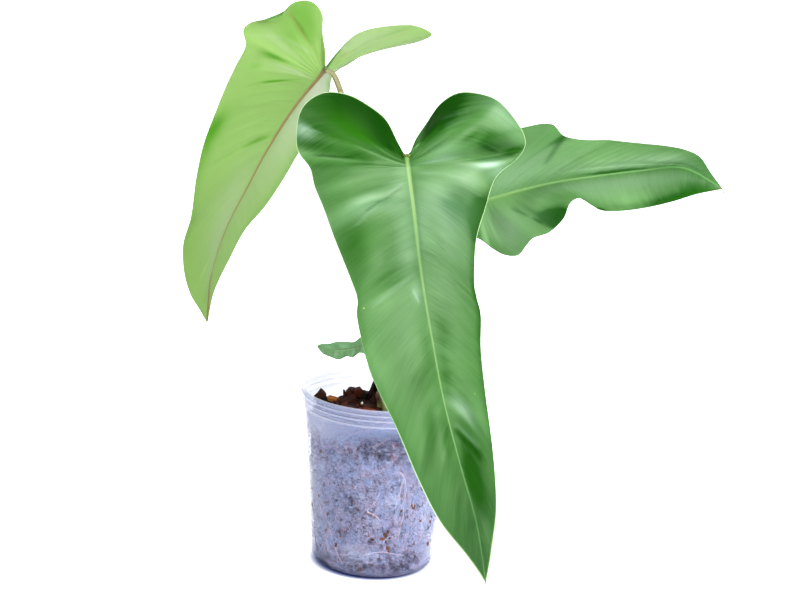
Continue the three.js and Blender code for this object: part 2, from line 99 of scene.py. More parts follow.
class Finish:
    """A material built from nodes. surface() ends it with its shader."""

    def __init__(self, name):
        self.material = bpy.data.materials.new(name)
        self.material.use_nodes = True
        self.tree = self.material.node_tree
        self.tree.nodes.clear()

    def add(self, kind, settings=None, inputs=None, output=0):
        """A node of any type: its settings are set first, then each input gets a value or a wire."""
        node = self.tree.nodes.new(kind)
        for name, value in (settings or {}).items():
            setattr(node, name, value)
        for name, value in (inputs or {}).items():
            if isinstance(value, Wire):
                self.tree.links.new(value.socket, node.inputs[name])
            else:
                node.inputs[name].default_value = value
        return Wire(self, node.outputs[output]) if node.outputs else node

    def number(self, name):
        """A number that the mesh holds for each of its points."""
        return self.add("ShaderNodeAttribute", {"attribute_name": name}, output=2)

    def place(self):
        """The point's place in the object's own space, in metres."""
        return self.add("ShaderNodeTexCoord", output=3)

    def point(self, x, y, z):
        """A place made of three wires or numbers."""
        return self.add("ShaderNodeCombineXYZ", None, {0: x, 1: y, 2: z})

    def mottle(self, where, scale, detail=2.0, roughness=0.5):
        """Soft noise from 0 to 1. scale is the number of patches in one unit of length."""
        inputs = {"Vector": where, "Scale": scale, "Detail": detail, "Roughness": roughness}
        return self.add("ShaderNodeTexNoise", None, inputs)

    def distance(self, first, second):
        """How far two places are from each other."""
        return self.add("ShaderNodeVectorMath", {"operation": "DISTANCE"}, {0: first, 1: second}, 1)

    def blend(self, first, second, share):
        """The first colour, going over to the second as share goes from 0 to 1."""
        inputs = {0: share, 6: first, 7: second}
        return self.add("ShaderNodeMix", {"data_type": "RGBA"}, inputs, 2)

    def bump(self, height, distance, strength=1.0):
        """The surface's normal, tilted as a relief of this height would tilt it: distance is in metres."""
        inputs = {"Height": height, "Distance": distance, "Strength": strength}
        return self.add("ShaderNodeBump", None, inputs)

    def principled(self, **inputs):
        """A principled shader: its sockets are named with _ for each space."""
        named = {name.replace("_", " "): value for name, value in inputs.items()}
        return self.add("ShaderNodeBsdfPrincipled", None, named)

    def surface(self, shader):
        """Ends the material with this shader."""
        self.add("ShaderNodeOutputMaterial", None, {"Surface": shader})
        return self.material


def paint(red, green, blue):
    """A colour given as it looks on a screen, from 0 to 255, as the linear values that shaders take."""
    share = np.array([red, green, blue]) / 255
    linear = np.where(share <= 0.04045, share / 12.92, ((share + 0.055) / 1.055) ** 2.4)
    return (*(float(value) for value in linear), 1.0)


def make_piece(name, points, faces, material, numbers=None, smooth=True):
    """A mesh object at the origin, from its points, its faces and the numbers that its points hold."""
    mesh = bpy.data.meshes.new(name)
    mesh.from_pydata(np.asarray(points, float).tolist(), [], [list(map(int, face)) for face in faces])
    for number, values in (numbers or {}).items():
        attribute = mesh.attributes.new(number, "FLOAT", "POINT")
        attribute.data.foreach_set("value", np.asarray(values, np.float32).ravel())
    mesh.polygons.foreach_set("use_smooth", np.full(len(mesh.polygons), smooth))
    mesh.materials.append(material)
    mesh.update()
    piece = bpy.data.objects.new(name, mesh)
    bpy.context.scene.collection.objects.link(piece)
    return piece


def belongs(piece, slot, *nodes):
    """The piece rides on the part's only body and stands for the nodes. The slot is not used."""
    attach(piece, "root")
    if nodes:
        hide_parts(*nodes)


FLOOR_HALF = 30.0
SHADE_MIDDLE = (-0.0015, 0.0, 0.0)
SHADE_RADII = (0.035, 0.047)

floor_finish = Finish("studio_floor")
# Close under the cup the floor's colour and glow go dark blue: a painted contact shadow.
open_floor = floor_finish.distance(floor_finish.place(), SHADE_MIDDLE).ramp(*SHADE_RADII)
floor_paint = floor_finish.principled(
    Base_Color=floor_finish.blend(paint(60, 70, 110), paint(246, 247, 250), open_floor),
    Roughness=0.9,
    Emission_Color=floor_finish.blend(paint(30, 40, 90), paint(250, 251, 255), open_floor),
    Emission_Strength=0.8,
)
corners = np.array([[-1, -1, 0], [1, -1, 0], [1, 1, 0], [-1, 1, 0]]) * FLOOR_HALF
floor = make_piece("studio_floor", corners, [[0, 1, 2, 3]], floor_finish.surface(floor_paint))

# The surround's glow goes from the wall's to the ceiling's over this share of the way up.
WALL_GLOW = 1.0
CEILING_GLOW = 0.06
GLOW_CHANGE = (0.0, 0.5)

scene = bpy.context.scene
scene.view_settings.view_transform = "Standard"
scene.view_settings.look = "Medium High Contrast"
surround = bpy.data.worlds.new("studio_surround")
surround.use_nodes = True
walls = surround.node_tree
direction = walls.nodes.new("ShaderNodeTexCoord")
rise = walls.nodes.new("ShaderNodeSeparateXYZ")
dimming = walls.nodes.new("ShaderNodeMapRange")
dimming.interpolation_type = "SMOOTHSTEP"
for socket, value in zip(dimming.inputs[1:5], (*GLOW_CHANGE, WALL_GLOW, CEILING_GLOW)):
    socket.default_value = value
walls.links.new(direction.outputs["Generated"], rise.inputs[0])
walls.links.new(rise.outputs["Z"], dimming.inputs["Value"])
walls.links.new(dimming.outputs[0], walls.nodes["Background"].inputs["Strength"])
walls.nodes["Background"].inputs["Color"].default_value = (1.0, 1.0, 1.0, 1.0)
scene.world = surround


def studio_light(kind, name, place, aim, **settings):
    """A light at a place, turned to face its aim."""
    lamp = bpy.data.lights.new(name, kind)
    for setting, value in settings.items():
        setattr(lamp, setting, value)
    light = bpy.data.objects.new(name, lamp)
    light.location = place
    light.rotation_euler = (Vector(aim) - Vector(place)).to_track_quat("-Z", "Y").to_euler()
    scene.collection.objects.link(light)


PLANT_MIDDLE = (0.0, -0.1, 0.22)

# The back panel is a sun so wide that its shadows have no edge: only the way to its aim counts.
studio_light("SUN", "back_panel", (0.0, 0.0, 0.0), (0.1, -0.75, -0.7), energy=2.0, angle=1.2)
studio_light("AREA", "key_softbox", (1.1, -1.05, 1.2), PLANT_MIDDLE, energy=80.0, size=1.4)
studio_light("AREA", "fill_softbox", (-0.6, -1.1, 1.05), PLANT_MIDDLE, energy=22.0, size=0.9)
studio_light("AREA", "bright_window", (1.15, -1.0, 0.95), PLANT_MIDDLE, energy=8.0, size=0.25)

CAMERA_PLACE = (0.0, -1.080, 0.440)
CAMERA_PITCH = 0.236
CAMERA_YAW = 0.008
CAMERA_ROLL = 0.058
SENSOR_WIDTH = 36.0
FOCAL_LENGTH = 76.5

lens = bpy.data.cameras.new("photo_camera")
lens.sensor_width = SENSOR_WIDTH
lens.lens = FOCAL_LENGTH
camera = bpy.data.objects.new("photo_camera", lens)
level = Matrix.Rotation(-CAMERA_YAW, 4, "Z") @ Matrix.Rotation(np.pi / 2 - CAMERA_PITCH, 4, "X")
camera.matrix_world = Matrix.Translation(CAMERA_PLACE) @ level @ Matrix.Rotation(CAMERA_ROLL, 4, "Z")
scene.collection.objects.link(camera)
scene.camera = camera


# The cup. A thin frosted nursery cup, pressed in one piece from soft clear plastic: it tapers to a rounded
# bottom corner, and has three raised rings under a rolled lip and six drain holes through its floor.

CUP_HEIGHT = 120.0
CUP_RIM_RADIUS = 52.3
CUP_BASE_RADIUS = 41.3
CUP_CORNER_RADIUS = 8.3
CUP_WALL = 1.0
CUP_FLOOR = 1.4
CUP_LIP_REACH = 1.6
CUP_LIP_THICKNESS = 2.2
CUP_LIP_BEVEL = 0.4
CUP_RINGS = (108.6, 112.7, 116.2)
CUP_RING_HEIGHT = 0.7
CUP_RING_HALF = 0.75
CUP_RINGED_FROM = 105.0
CUP_SIDES = 192
# A painted highlight: a narrow band on each ring and at the lip is drawn whiter.
RING_HIGHLIGHT = 0.9
RING_HIGHLIGHT_HALF = 0.6
DRAIN_HOLES = 6
DRAIN_RADIUS = 3.5
DRAIN_CIRCLE = 25.0
DRILL_ROOM = 2.0

cup_slope = (CUP_RIM_RADIUS - CUP_BASE_RADIUS) / CUP_HEIGHT


def corner_arc(radius, corner, floor_height, steps):
    """The rounded corner between a floor and a wall: a quarter circle that leans out with the wall."""
    share = np.linspace(0, 1, steps)
    angle = share * np.pi / 2
    across = radius - corner + corner * np.sin(angle) + cup_slope * corner * share
    return np.stack([across, floor_height + corner * (1 - np.cos(angle))], 1)


def tube_faces(rings, sides):
    """The four-sided faces between each ring of points and the next."""
    first = np.arange(rings - 1)[:, None] * sides + np.arange(sides)[None]
    second = np.arange(rings - 1)[:, None] * sides + (np.arange(sides)[None] + 1) % sides
    return np.stack([first, second, second + sides, first + sides], -1).reshape(-1, 4)


def turn_profile(profile, sides):
    """A profile of radius and height turned about Z: point (i, j) is profile point i at angle j of a full
    turn. Returns the points and the faces, which point out for a profile that goes out along the bottom, up
    the outside and back in. The points that fall together on the axis are left for close_up to merge."""
    radius, height = np.asarray(profile, float).T
    angle = np.arange(sides) * 2 * np.pi / sides
    ring = np.stack([np.cos(angle), np.sin(angle), np.zeros(sides)], 1)
    lift = np.array([0.0, 0.0, 1.0])
    points = ring[None] * radius[:, None, None] + lift * height[:, None, None]
    return points.reshape(-1, 3), tube_faces(len(radius), sides)


def close_up(piece):
    """Merges points that lie on each other, drops what this flattens and turns all faces outwards."""
    form = bmesh.new()
    form.from_mesh(piece.data)
    bmesh.ops.remove_doubles(form, verts=form.verts, dist=1e-7)
    bmesh.ops.dissolve_degenerate(form, edges=form.edges, dist=1e-8)
    bmesh.ops.recalc_face_normals(form, faces=form.faces)
    form.to_mesh(piece.data)
    form.free()


def cup_profile():
    """The cup's section, out along its underside, up its outside, over the rolled lip and down inside. On
    the outside each ring adds a flat-topped bell of its height, and the lip is a half circle."""
    wall_foot = CUP_CORNER_RADIUS + 0.5
    wall_top = CUP_HEIGHT - CUP_LIP_THICKNESS
    rising = np.concatenate([
        np.linspace(wall_foot, CUP_RINGED_FROM, 34, endpoint=False),
        np.linspace(CUP_RINGED_FROM, wall_top, 52),
    ])
    rings = sum(np.exp(-((rising - ring) / CUP_RING_HALF) ** 4) for ring in CUP_RINGS)
    outside = np.stack([CUP_BASE_RADIUS + cup_slope * rising + CUP_RING_HEIGHT * rings, rising], 1)
    turn = np.linspace(-np.pi / 2, np.pi / 2, 9)
    bead = CUP_LIP_THICKNESS / 2
    lip = np.stack([
        CUP_RIM_RADIUS + CUP_LIP_REACH - bead + bead * np.cos(turn),
        CUP_HEIGHT - bead + bead * np.sin(turn),
    ], 1)
    inner_top = CUP_BASE_RADIUS + cup_slope * CUP_HEIGHT - CUP_WALL
    inner_foot = CUP_BASE_RADIUS - CUP_WALL
    falling = np.linspace(CUP_HEIGHT - CUP_LIP_BEVEL, wall_foot + CUP_FLOOR, 30)
    inside = np.stack([inner_foot + cup_slope * falling, falling], 1)
    flat = np.array([0.0, 12.0, 20.0, 27.0, 31.0])
    return np.concatenate([
        np.stack([flat, np.zeros(len(flat))], 1),
        corner_arc(CUP_BASE_RADIUS, CUP_CORNER_RADIUS, 0.0, 12),
        outside,
        lip,
        [[inner_top + CUP_LIP_BEVEL, CUP_HEIGHT]],
        inside,
        corner_arc(inner_foot, CUP_CORNER_RADIUS - CUP_WALL, CUP_FLOOR, 12)[::-1],
        np.stack([flat[::-1], np.full(len(flat), CUP_FLOOR)], 1),
    ])


def cut_away(piece, cutter):
    """Takes the cutter's form out of the piece and removes the cutter."""
    cut = piece.modifiers.new("drain_holes", "BOOLEAN")
    cut.operation = "DIFFERENCE"
    cut.solver = "EXACT"
    cut.object = cutter
    bpy.context.view_layer.update()
    cut_piece = piece.evaluated_get(bpy.context.evaluated_depsgraph_get())
    finished = bpy.data.meshes.new_from_object(cut_piece)
    piece.modifiers.clear()
    piece.data = finished
    bpy.data.objects.remove(cutter)


# Where the wall is clearer (above 0) or cloudier (below 0): angle in degrees from -Y towards +X, height,
# amount, spread across and spread upwards. The bells at -74, -60 and 76 degrees are painted light: they make
# the wall paler along its left and right edges, where it is seen edge-on.
WALL_STAINS_AND_LIGHT = [
    [3, 91, 1.0, 15, 8], [13, 100, 0.6, 9, 6], [-8, 96, 0.5, 8, 6], [-22, 87, 0.35, 10, 4],
    [-39, 90, 0.4, 6, 2.5], [76, 30, -0.8, 8, 30], [24, 17, 0.5, 12, 6], [22, 40, 0.35, 12, 14],
    [55, 35, 0.35, 8, 14], [38, 14, 0.6, 8, 7], [-33, 68, 0.6, 5, 6], [-25, 52, 0.6, 7, 5],
    [-25, 33, 0.5, 6, 5], [26, 11, 1.0, 12, 4.5], [-50, 8, 0.7, 8, 6], [-10, 9, 0.6, 10, 3],
    [-34, 22, 0.4, 4, 5], [-5, 60, 0.8, 1.2, 1.6], [10, 34, 0.5, 4, 3], [-1, 29, 0.7, 2, 4],
    [25, 80, 0.5, 6, 5], [-49, 103, -0.5, 16, 9], [-74, 60, -1.0, 7, 50], [-60, 60, -0.4, 9, 45],
    [50, 42, -0.4, 10, 14], [62, 22, -0.6, 8, 14], [-20, 20, -0.4, 10, 6], [-12, 60, -0.5, 3, 2],
    [15, 58, -0.5, 5, 4], [12, 9, 0.7, 16, 4], [14, 20, 0.4, 6, 6], [18, 47, -1.0, 1.5, 2],
    [-28, 48, -0.7, 2.5, 2], [2, 41, -0.5, 4, 3], [0, 18, -0.4, 8, 4],
]


def cup_stains_and_light(points):
    """The wall's stains and painted light at each point: the sum of the listed bells, less a narrow bell on
    each ring and at the lip, a painted highlight that draws the plastic whiter there."""
    angle = np.degrees(np.arctan2(points[:, 0], -points[:, 1]))
    radius = np.hypot(points[:, 0], points[:, 1])
    total = np.zeros(len(points))
    for stain_angle, height, amount, across_spread, up_spread in WALL_STAINS_AND_LIGHT:
        turned = np.radians((angle - stain_angle + 180) % 360 - 180) * radius
        away = (turned / across_spread) ** 2 + ((points[:, 2] - height) / up_spread) ** 2
        total += amount * np.exp(-away)
    rings = sum(np.exp(-((points[:, 2] - ring) / RING_HIGHLIGHT_HALF) ** 2) for ring in (*CUP_RINGS, CUP_HEIGHT))
    return total - rings * RING_HIGHLIGHT


# Between the first height and the second, in metres, the damp behind the wall and the painted shade
# under its bottom corner come in.
DAMP_HEIGHTS = (0.104, 0.09)
FOOT_SHADE_HEIGHTS = (0.0034, 0.0016)


def cup_finish():
    """Frosted plastic: milky and a little blue. Where the mix lies behind, damp and dust cloud it in
    patches, with dark lumps and pale flecks, and painted highlights whiten it where the stains draw it paler.
    Under the bottom corner it is painted dark and opaque as shade."""
    look = Finish("frosted_plastic")
    where = look.place()
    stain_and_light = look.number("stain_and_light")
    height = look.add("ShaderNodeSeparateXYZ", None, {0: where}, 2)
    damp = height.ramp(*DAMP_HEIGHTS)
    foot_shade = height.ramp(*FOOT_SHADE_HEIGHTS)
    cloud = look.mottle(where, 52.0, 4.0, 0.6)
    lump = look.mottle(where, 240.0, 3.0, 0.7)
    fleck = look.mottle(where, 560.0, 3.0, 0.65)
    tint = look.mottle(where, 150.0, 2.0, 0.5)
    grain = look.mottle(where, 900.0, 3.0, 0.6)
    # Pale flecks of damp, and painted highlights where the stains draw the wall whiter.
    pale_flecks_and_highlights = (fleck.ramp(0.6, 0.7) * damp * 0.7 - stain_and_light).within(0.0, 1.0)
    dark_lumps = (stain_and_light * 0.6 + (0.45 - lump) * 3.5 * damp).within(0.0, 0.8)
    frost = look.blend(paint(116, 126, 157), paint(128, 126, 152), tint.ramp(0.42, 0.58) * damp)
    frost = look.blend(frost, paint(156, 158, 172), pale_flecks_and_highlights)
    frost = look.blend(frost, paint(66, 66, 92), dark_lumps)
    # Painted shade: the wall goes dark navy and opaque under its bottom corner.
    frost = look.blend(frost, paint(8, 10, 26), foot_shade)
    patchy = (cloud - 0.5) * 0.4 + (lump - 0.5) * 0.7 + (fleck - 0.5) * 0.8
    veil = 0.42 - 0.1 * damp + patchy * damp - stain_and_light * 0.16 + foot_shade
    shader = look.principled(
        Base_Color=frost, Roughness=0.45, Alpha=veil.within(0.06, 0.95), IOR=1.4, Specular_IOR_Level=0.3,
        Normal=look.bump(grain, 0.0002, 0.25),
    )
    return look.surface(shader)


cup_points, cup_faces = turn_profile(cup_profile(), CUP_SIDES)
cup = make_piece("frosted_cup", cup_points * MM, cup_faces, cup_finish(), {"stain_and_light": cup_stains_and_light(cup_points)})
close_up(cup)
drill_top = CUP_FLOOR + DRILL_ROOM
drill_profile = [[0, -DRILL_ROOM], [DRAIN_RADIUS, -DRILL_ROOM], [DRAIN_RADIUS, drill_top], [0, drill_top]]
drill_points, drill_faces = turn_profile(drill_profile, 24)
hole_angle = np.arange(DRAIN_HOLES) * 2 * np.pi / DRAIN_HOLES
hole_place = DRAIN_CIRCLE * np.stack([np.cos(hole_angle), np.sin(hole_angle), 0 * hole_angle], 1)
drills = (drill_points[None] + hole_place[:, None]).reshape(-1, 3)
drill_step = np.arange(DRAIN_HOLES)[:, None, None] * len(drill_points)
drill = make_piece("drill", drills * MM, (drill_faces[None] + drill_step).reshape(-1, 4), cup.active_material)
close_up(drill)
cut_away(cup, drill)
belongs(cup, "cup", "cup")


# The potting mix. Chunky orchid bark, coir and grit pressed to the shape of the cup, with its top heaped
# round the stem. It shows through the frosted wall as dark and pale patches.

MIX_WALL_LEVEL = 97.0
MIX_MOUND = 10.0
MIX_WALL_ROOM = 1.7
MIX_FLOOR_ROOM = 0.4
MIX_TOP_ROOM = 2.5
MIX_LUMP_DEPTH = 0.5
MIX_LUMP_SIZE = 14.0
MIX_LUMPS_FROM = 12.0

bark_brown = paint(52, 22, 12)
bark_dark = paint(14, 8, 7)
bark_red = paint(94, 42, 20)


def waves(points, size, seed, count=12):
    """Smooth lumps between about -1 and 1: the sum of plane waves, each as long as size, whose directions
    and starts are drawn from the seed."""
    draw = np.random.default_rng(seed)
    direction = draw.normal(size=(count, 3))
    direction /= np.linalg.norm(direction, axis=1, keepdims=True)
    length = size * draw.uniform(0.7, 1.4, count)
    start = draw.uniform(0, 2 * np.pi, count)
    phase = points @ direction.T * (2 * np.pi / length) + start
    return np.sin(phase).sum(-1) * (1.4 / np.sqrt(count))


def mix_top(radius):
    """The height of the heaped top: a low dome over the level at the wall."""
    share = np.minimum(radius / (CUP_BASE_RADIUS + cup_slope * MIX_WALL_LEVEL), 1)
    return MIX_WALL_LEVEL + MIX_MOUND * (1 - share ** 2)


def mix_finish():
    """Wet bark, coir and grit against the wall: dark hollows, purple-grey dust and pale flecks."""
    look = Finish("potting_mix_body")
    where = look.place()
    lump = look.mottle(where, 120.0, 5.0, 0.7)
    patch = look.mottle(where, 40.0, 3.0, 0.55)
    speck = look.mottle(where, 420.0, 2.0, 0.5)
    colour = look.blend(bark_dark, paint(46, 40, 54), lump.ramp(0.38, 0.62))
    colour = look.blend(colour, paint(70, 66, 90), patch.ramp(0.45, 0.65) * 0.6)
    colour = look.blend(colour, paint(120, 118, 138), speck.ramp(0.62, 0.72) * 0.6)
    colour = look.blend(colour, bark_red, look.mottle(where, 130.0, 3.0).ramp(0.6, 0.68) * 0.6)
    shader = look.principled(Base_Color=colour, Roughness=0.85, Normal=look.bump(lump, 0.002))
    return look.surface(shader)


def mix_body():
    """The cup's inside as a turned form that stands clear of the wall and of the chips on its top, with its
    side pushed in by the waves' lumps."""
    room = MIX_WALL_ROOM + CUP_WALL
    bottom = CUP_FLOOR + MIX_FLOOR_ROOM
    rising = np.linspace(CUP_CORNER_RADIUS + 2, MIX_WALL_LEVEL, 40)
    shoulder = np.linspace(1, 0, 16)[1:]
    top_radius = CUP_BASE_RADIUS + cup_slope * MIX_WALL_LEVEL - room
    profile = np.concatenate([
        [[0.0, bottom], [20.0, bottom]],
        corner_arc(CUP_BASE_RADIUS - room, CUP_CORNER_RADIUS - CUP_WALL, bottom, 8),
        np.stack([CUP_BASE_RADIUS + cup_slope * rising - room, rising], 1),
        np.stack([top_radius * shoulder, mix_top(top_radius * shoulder) - MIX_TOP_ROOM], 1),
    ])
    points, faces = turn_profile(profile, 120)
    inward = MIX_LUMP_DEPTH * (waves(points, MIX_LUMP_SIZE, 3) - 1)
    radius = np.maximum(np.hypot(points[:, 0], points[:, 1]), 1e-6)
    side = (points[:, 2] > MIX_LUMPS_FROM) & (points[:, 2] < MIX_WALL_LEVEL)
    points[:, :2] *= (1 + np.where(side, inward, 0) / radius)[:, None]
    return points, faces


mix_points, mix_faces = mix_body()
mix = make_piece("potting_mix_body", mix_points * MM, mix_faces, mix_finish())
close_up(mix)
belongs(mix, "potting_mix", "potting_mix")


# The bark chips. Broken pieces of pine bark lie loose on the mix, with finer crumbs between them and a few
# tan slivers and white perlite grains. Each chip is a rough block with its own brown.

BALL_REACH = 1.2
CHIP_COUNT = 330
CHIP_SPREAD = 44.5
CHIP_STEM_ROOM = 6.0
CHIP_SINK = (-5.5, -1.5)
CHIP_SIZES = ((8, 17), (5, 10), (3, 6))
CHIP_TILT = 0.5
CRUMB_COUNT = 700
CRUMB_SPREAD = 48.0
CRUMB_STEM_ROOM = 5.0
CRUMB_SINK = (-2.0, 0.0)
CRUMB_SIZES = (0.8, 3.0)

# Chips get smaller over this band inside this radius, down to this share of their size.
SMALL_CHIP_RADIUS = 49.0
SMALL_CHIP_BAND = 9.0
SMALL_CHIP_SHARE = 0.35

# The chips that stand up behind the front rim: place, size, turn about X, Y and Z, shade and roundness.
STANDING_CHIPS = [
    [[-41.0, 20, 106.0], [5, 5, 7], [0.2, 0.65, 0.3], 0.62, 0.2],
    [[-37.5, 20, 103.5], [8, 6, 3.5], [0.1, 0.3, 0.2], 0.1, 0.4],
    [[-31.5, 18, 104.6], [9, 4, 2.6], [0.3, 0.32, 0.1], 1.8, 0.4],
    [[-28, 17, 102.5], [8, 6, 5], [0.2, -0.2, 0.4], 0.75, 0.5],
    [[-25, 20, 107.5], [1.3, 2, 8], [0.0, -0.12, 0.2], 0.3, 0.2],
    [[-19.5, 17, 109.0], [8.5, 8, 10], [0.2, 0.35, 0.4], 0.68, 0.75],
    [[-15.5, 15, 111.5], [5.5, 6, 6.5], [0.1, -0.3, 0.2], 0.85, 0.7],
    [[-21, 12, 105.5], [11, 8, 7], [0.3, -0.5, 0.2], 0.5, 0.6],
    [[-9.5, 16, 108.0], [9, 8, 8], [0.2, 0.3, 0.6], 0.2, 0.5],
    [[-11, 8, 104.5], [9, 7, 7], [0.4, 0.1, 0.2], 0.1, 0.6],
    [[-5.5, 13, 113.5], [4.5, 5, 14], [0.1, 0.28, 0.3], 0.15, 0.4],
    [[-3.5, 10, 107.0], [8, 8, 12], [0.2, 0.4, 0.5], 0.45, 0.5],
]

# The perlite grains: place and size.
PERLITE_GRAINS = [
    [[-12.5, 4, 106.3], [1.7, 1.9, 3.6]],
    [[14, -22, 103.5], [2.6, 2.2, 2]],
    [[25, 16, 102.5], [3, 2.5, 2]],
]


def rough_block():
    """A cube whose faces are split in four: 26 points from -1 to 1 and 24 faces, pointing out. Its points
    are those of a grid of 3 by 3 by 3 without the middle one, in the grid's order."""
    steps = np.array([-1.0, 0.0, 1.0])
    grid = np.stack(np.meshgrid(steps, steps, steps, indexing="ij"), -1).reshape(-1, 3)
    shell = np.abs(grid).max(1) == 1
    number = np.cumsum(shell) - 1
    square = np.array([[0, 0], [1, 0], [1, 1], [0, 1]])
    faces = []
    for axis in range(3):
        for end in (0, 2):
            for start in square:
                spots = np.insert(start + square, axis, end, axis=1)
                if (end == 0) != (axis == 1):
                    spots = spots[::-1]
                faces.append(number[spots @ [9, 3, 1]])
    return grid[shell], np.array(faces)


def turns(angles):
    """Rotation matrices for rows of angles about X, then Y, then Z."""
    (cx, cy, cz), (sx, sy, sz) = np.cos(angles).T, np.sin(angles).T
    rows = [
        [cy * cz, sx * sy * cz - cx * sz, cx * sy * cz + sx * sz],
        [cy * sz, sx * sy * sz + cx * cz, cx * sy * sz - sx * cz],
        [-sy, sx * cy, cx * cy],
    ]
    return np.stack([np.stack(row, -1) for row in rows], 1)


def scattered(name, places, sizes, angles, material, seed, roundness=0.45, rough=0.12, shades=None):
    """One mesh of many broken blocks. A block's points are drawn in towards a ball by roundness, moved by a
    random share of their length, stretched to the block's size, turned and set in place. Each block has
    one shade, which is drawn from 0 to 1 where none is given."""
    draw = np.random.default_rng(seed)
    block, block_faces = rough_block()
    ball = block / np.linalg.norm(block, axis=1, keepdims=True) * BALL_REACH
    roundness = np.broadcast_to(roundness, len(places))[:, None, None]
    shape = block * (1 - roundness) + ball * roundness
    count = len(places)
    shapes = shape * (1 + rough * draw.normal(size=(count, len(block), 1)).clip(-2, 2))
    shapes = shapes * (np.asarray(sizes)[:, None] / 2)
    points = np.einsum("nij,npj->npi", turns(np.asarray(angles)), shapes) + np.asarray(places)[:, None]
    faces = block_faces[None] + np.arange(count)[:, None, None] * len(block)
    numbers = {"shade": np.repeat(draw.uniform(0, 1, count) if shades is None else shades, len(block))}
    return make_piece(name, points.reshape(-1, 3) * MM, faces.reshape(-1, 4), material, numbers, smooth=False)


def bark_finish(name, dark, brown, light):
    """Pine bark: from dark over brown to light from piece to piece, and tan for shades over 1.2, with
    fibres and a torn surface."""
    look = Finish(name)
    where = look.place()
    shade = look.number("shade")
    fibre = look.mottle(where, 700.0, 4.0, 0.7)
    torn = look.mottle(where, 210.0, 3.0, 0.6)
    colour = look.blend(dark, brown, shade.ramp(0.15, 0.6))
    colour = look.blend(colour, light, (shade.ramp(0.72, 1.0) + 0.35 * torn.ramp(0.5, 0.7)).within(0, 1))
    colour = look.blend(colour, paint(132, 82, 40), shade.ramp(1.2, 1.6))
    colour = look.blend(colour, dark, fibre.ramp(0.55, 0.35) * 0.6)
    shader = look.principled(
        Base_Color=colour, Roughness=0.75, Specular_IOR_Level=0.2,
        Normal=look.bump(fibre + torn, 0.0009, 0.9),
    )
    return look.surface(shader)


def heap(count, seed, spread, clear):
    """Places on the heaped top: an even scatter by area, clear of the stem. Returns them with the draw
    that made them, for the numbers that follow."""
    draw = np.random.default_rng(seed)
    radius = np.sqrt(draw.uniform(clear ** 2, spread ** 2, count))
    angle = draw.uniform(0, 2 * np.pi, count)
    return np.stack([radius * np.cos(angle), radius * np.sin(angle), mix_top(radius)], 1), draw


chip_material = bark_finish("pine_bark", bark_dark, bark_brown, bark_red)
chip_places, draw = heap(CHIP_COUNT, 21, CHIP_SPREAD, CHIP_STEM_ROOM)
chip_places[:, 2] += draw.uniform(*CHIP_SINK, CHIP_COUNT)
chip_sizes = np.stack([draw.uniform(*limits, CHIP_COUNT) for limits in CHIP_SIZES], 1)
chip_radius = np.hypot(chip_places[:, 0], chip_places[:, 1])
chip_sizes *= np.clip((SMALL_CHIP_RADIUS - chip_radius) / SMALL_CHIP_BAND, SMALL_CHIP_SHARE, 1)[:, None]
chip_angles = draw.uniform(-1, 1, (CHIP_COUNT, 3)) * [CHIP_TILT, CHIP_TILT, np.pi]
chips = scattered("bark_chips", chip_places, chip_sizes, chip_angles, chip_material, 22)
belongs(chips, "potting_mix")

*standing, standing_shades, standing_roundness = (np.array(column, float) for column in zip(*STANDING_CHIPS))
standing_chips = scattered("standing_chips", *standing, chip_material, 25,
                           roundness=standing_roundness, rough=0.08, shades=standing_shades)
belongs(standing_chips, "potting_mix")

perlite_finish = Finish("perlite")
perlite_paint = perlite_finish.principled(Base_Color=paint(196, 190, 166), Roughness=0.8)
perlite_places, perlite_sizes = zip(*PERLITE_GRAINS)
perlite = scattered("perlite", perlite_places, perlite_sizes, np.zeros((len(PERLITE_GRAINS), 3)),
                    perlite_finish.surface(perlite_paint), 26, roundness=0.8)
belongs(perlite, "potting_mix")

crumb_places, draw = heap(CRUMB_COUNT, 23, CRUMB_SPREAD, CRUMB_STEM_ROOM)
crumb_places[:, 2] += draw.uniform(*CRUMB_SINK, CRUMB_COUNT)
crumb_sizes = draw.uniform(*CRUMB_SIZES, (CRUMB_COUNT, 3))
crumb_angles = draw.uniform(-np.pi, np.pi, (CRUMB_COUNT, 3))
crumbs = scattered("bark_crumbs", crumb_places, crumb_sizes, crumb_angles, chip_material, 24)
belongs(crumbs, "potting_mix")


# The wall's inside and outside. Grains of bark and dust cling between the wall and the mix, thin roots run
# along the wall, and splashes of rust-coloured mix have dried on its outside.

WALL_GRAINS = 520
GRAIN_HEIGHTS = (9, 92)
GRAIN_INSET = 0.95
GRAIN_THICKNESS = 0.8
DUST_SPECKS = 110
DUST_HEIGHTS = (7, 88)
SPLASH_THICKNESS = 0.5

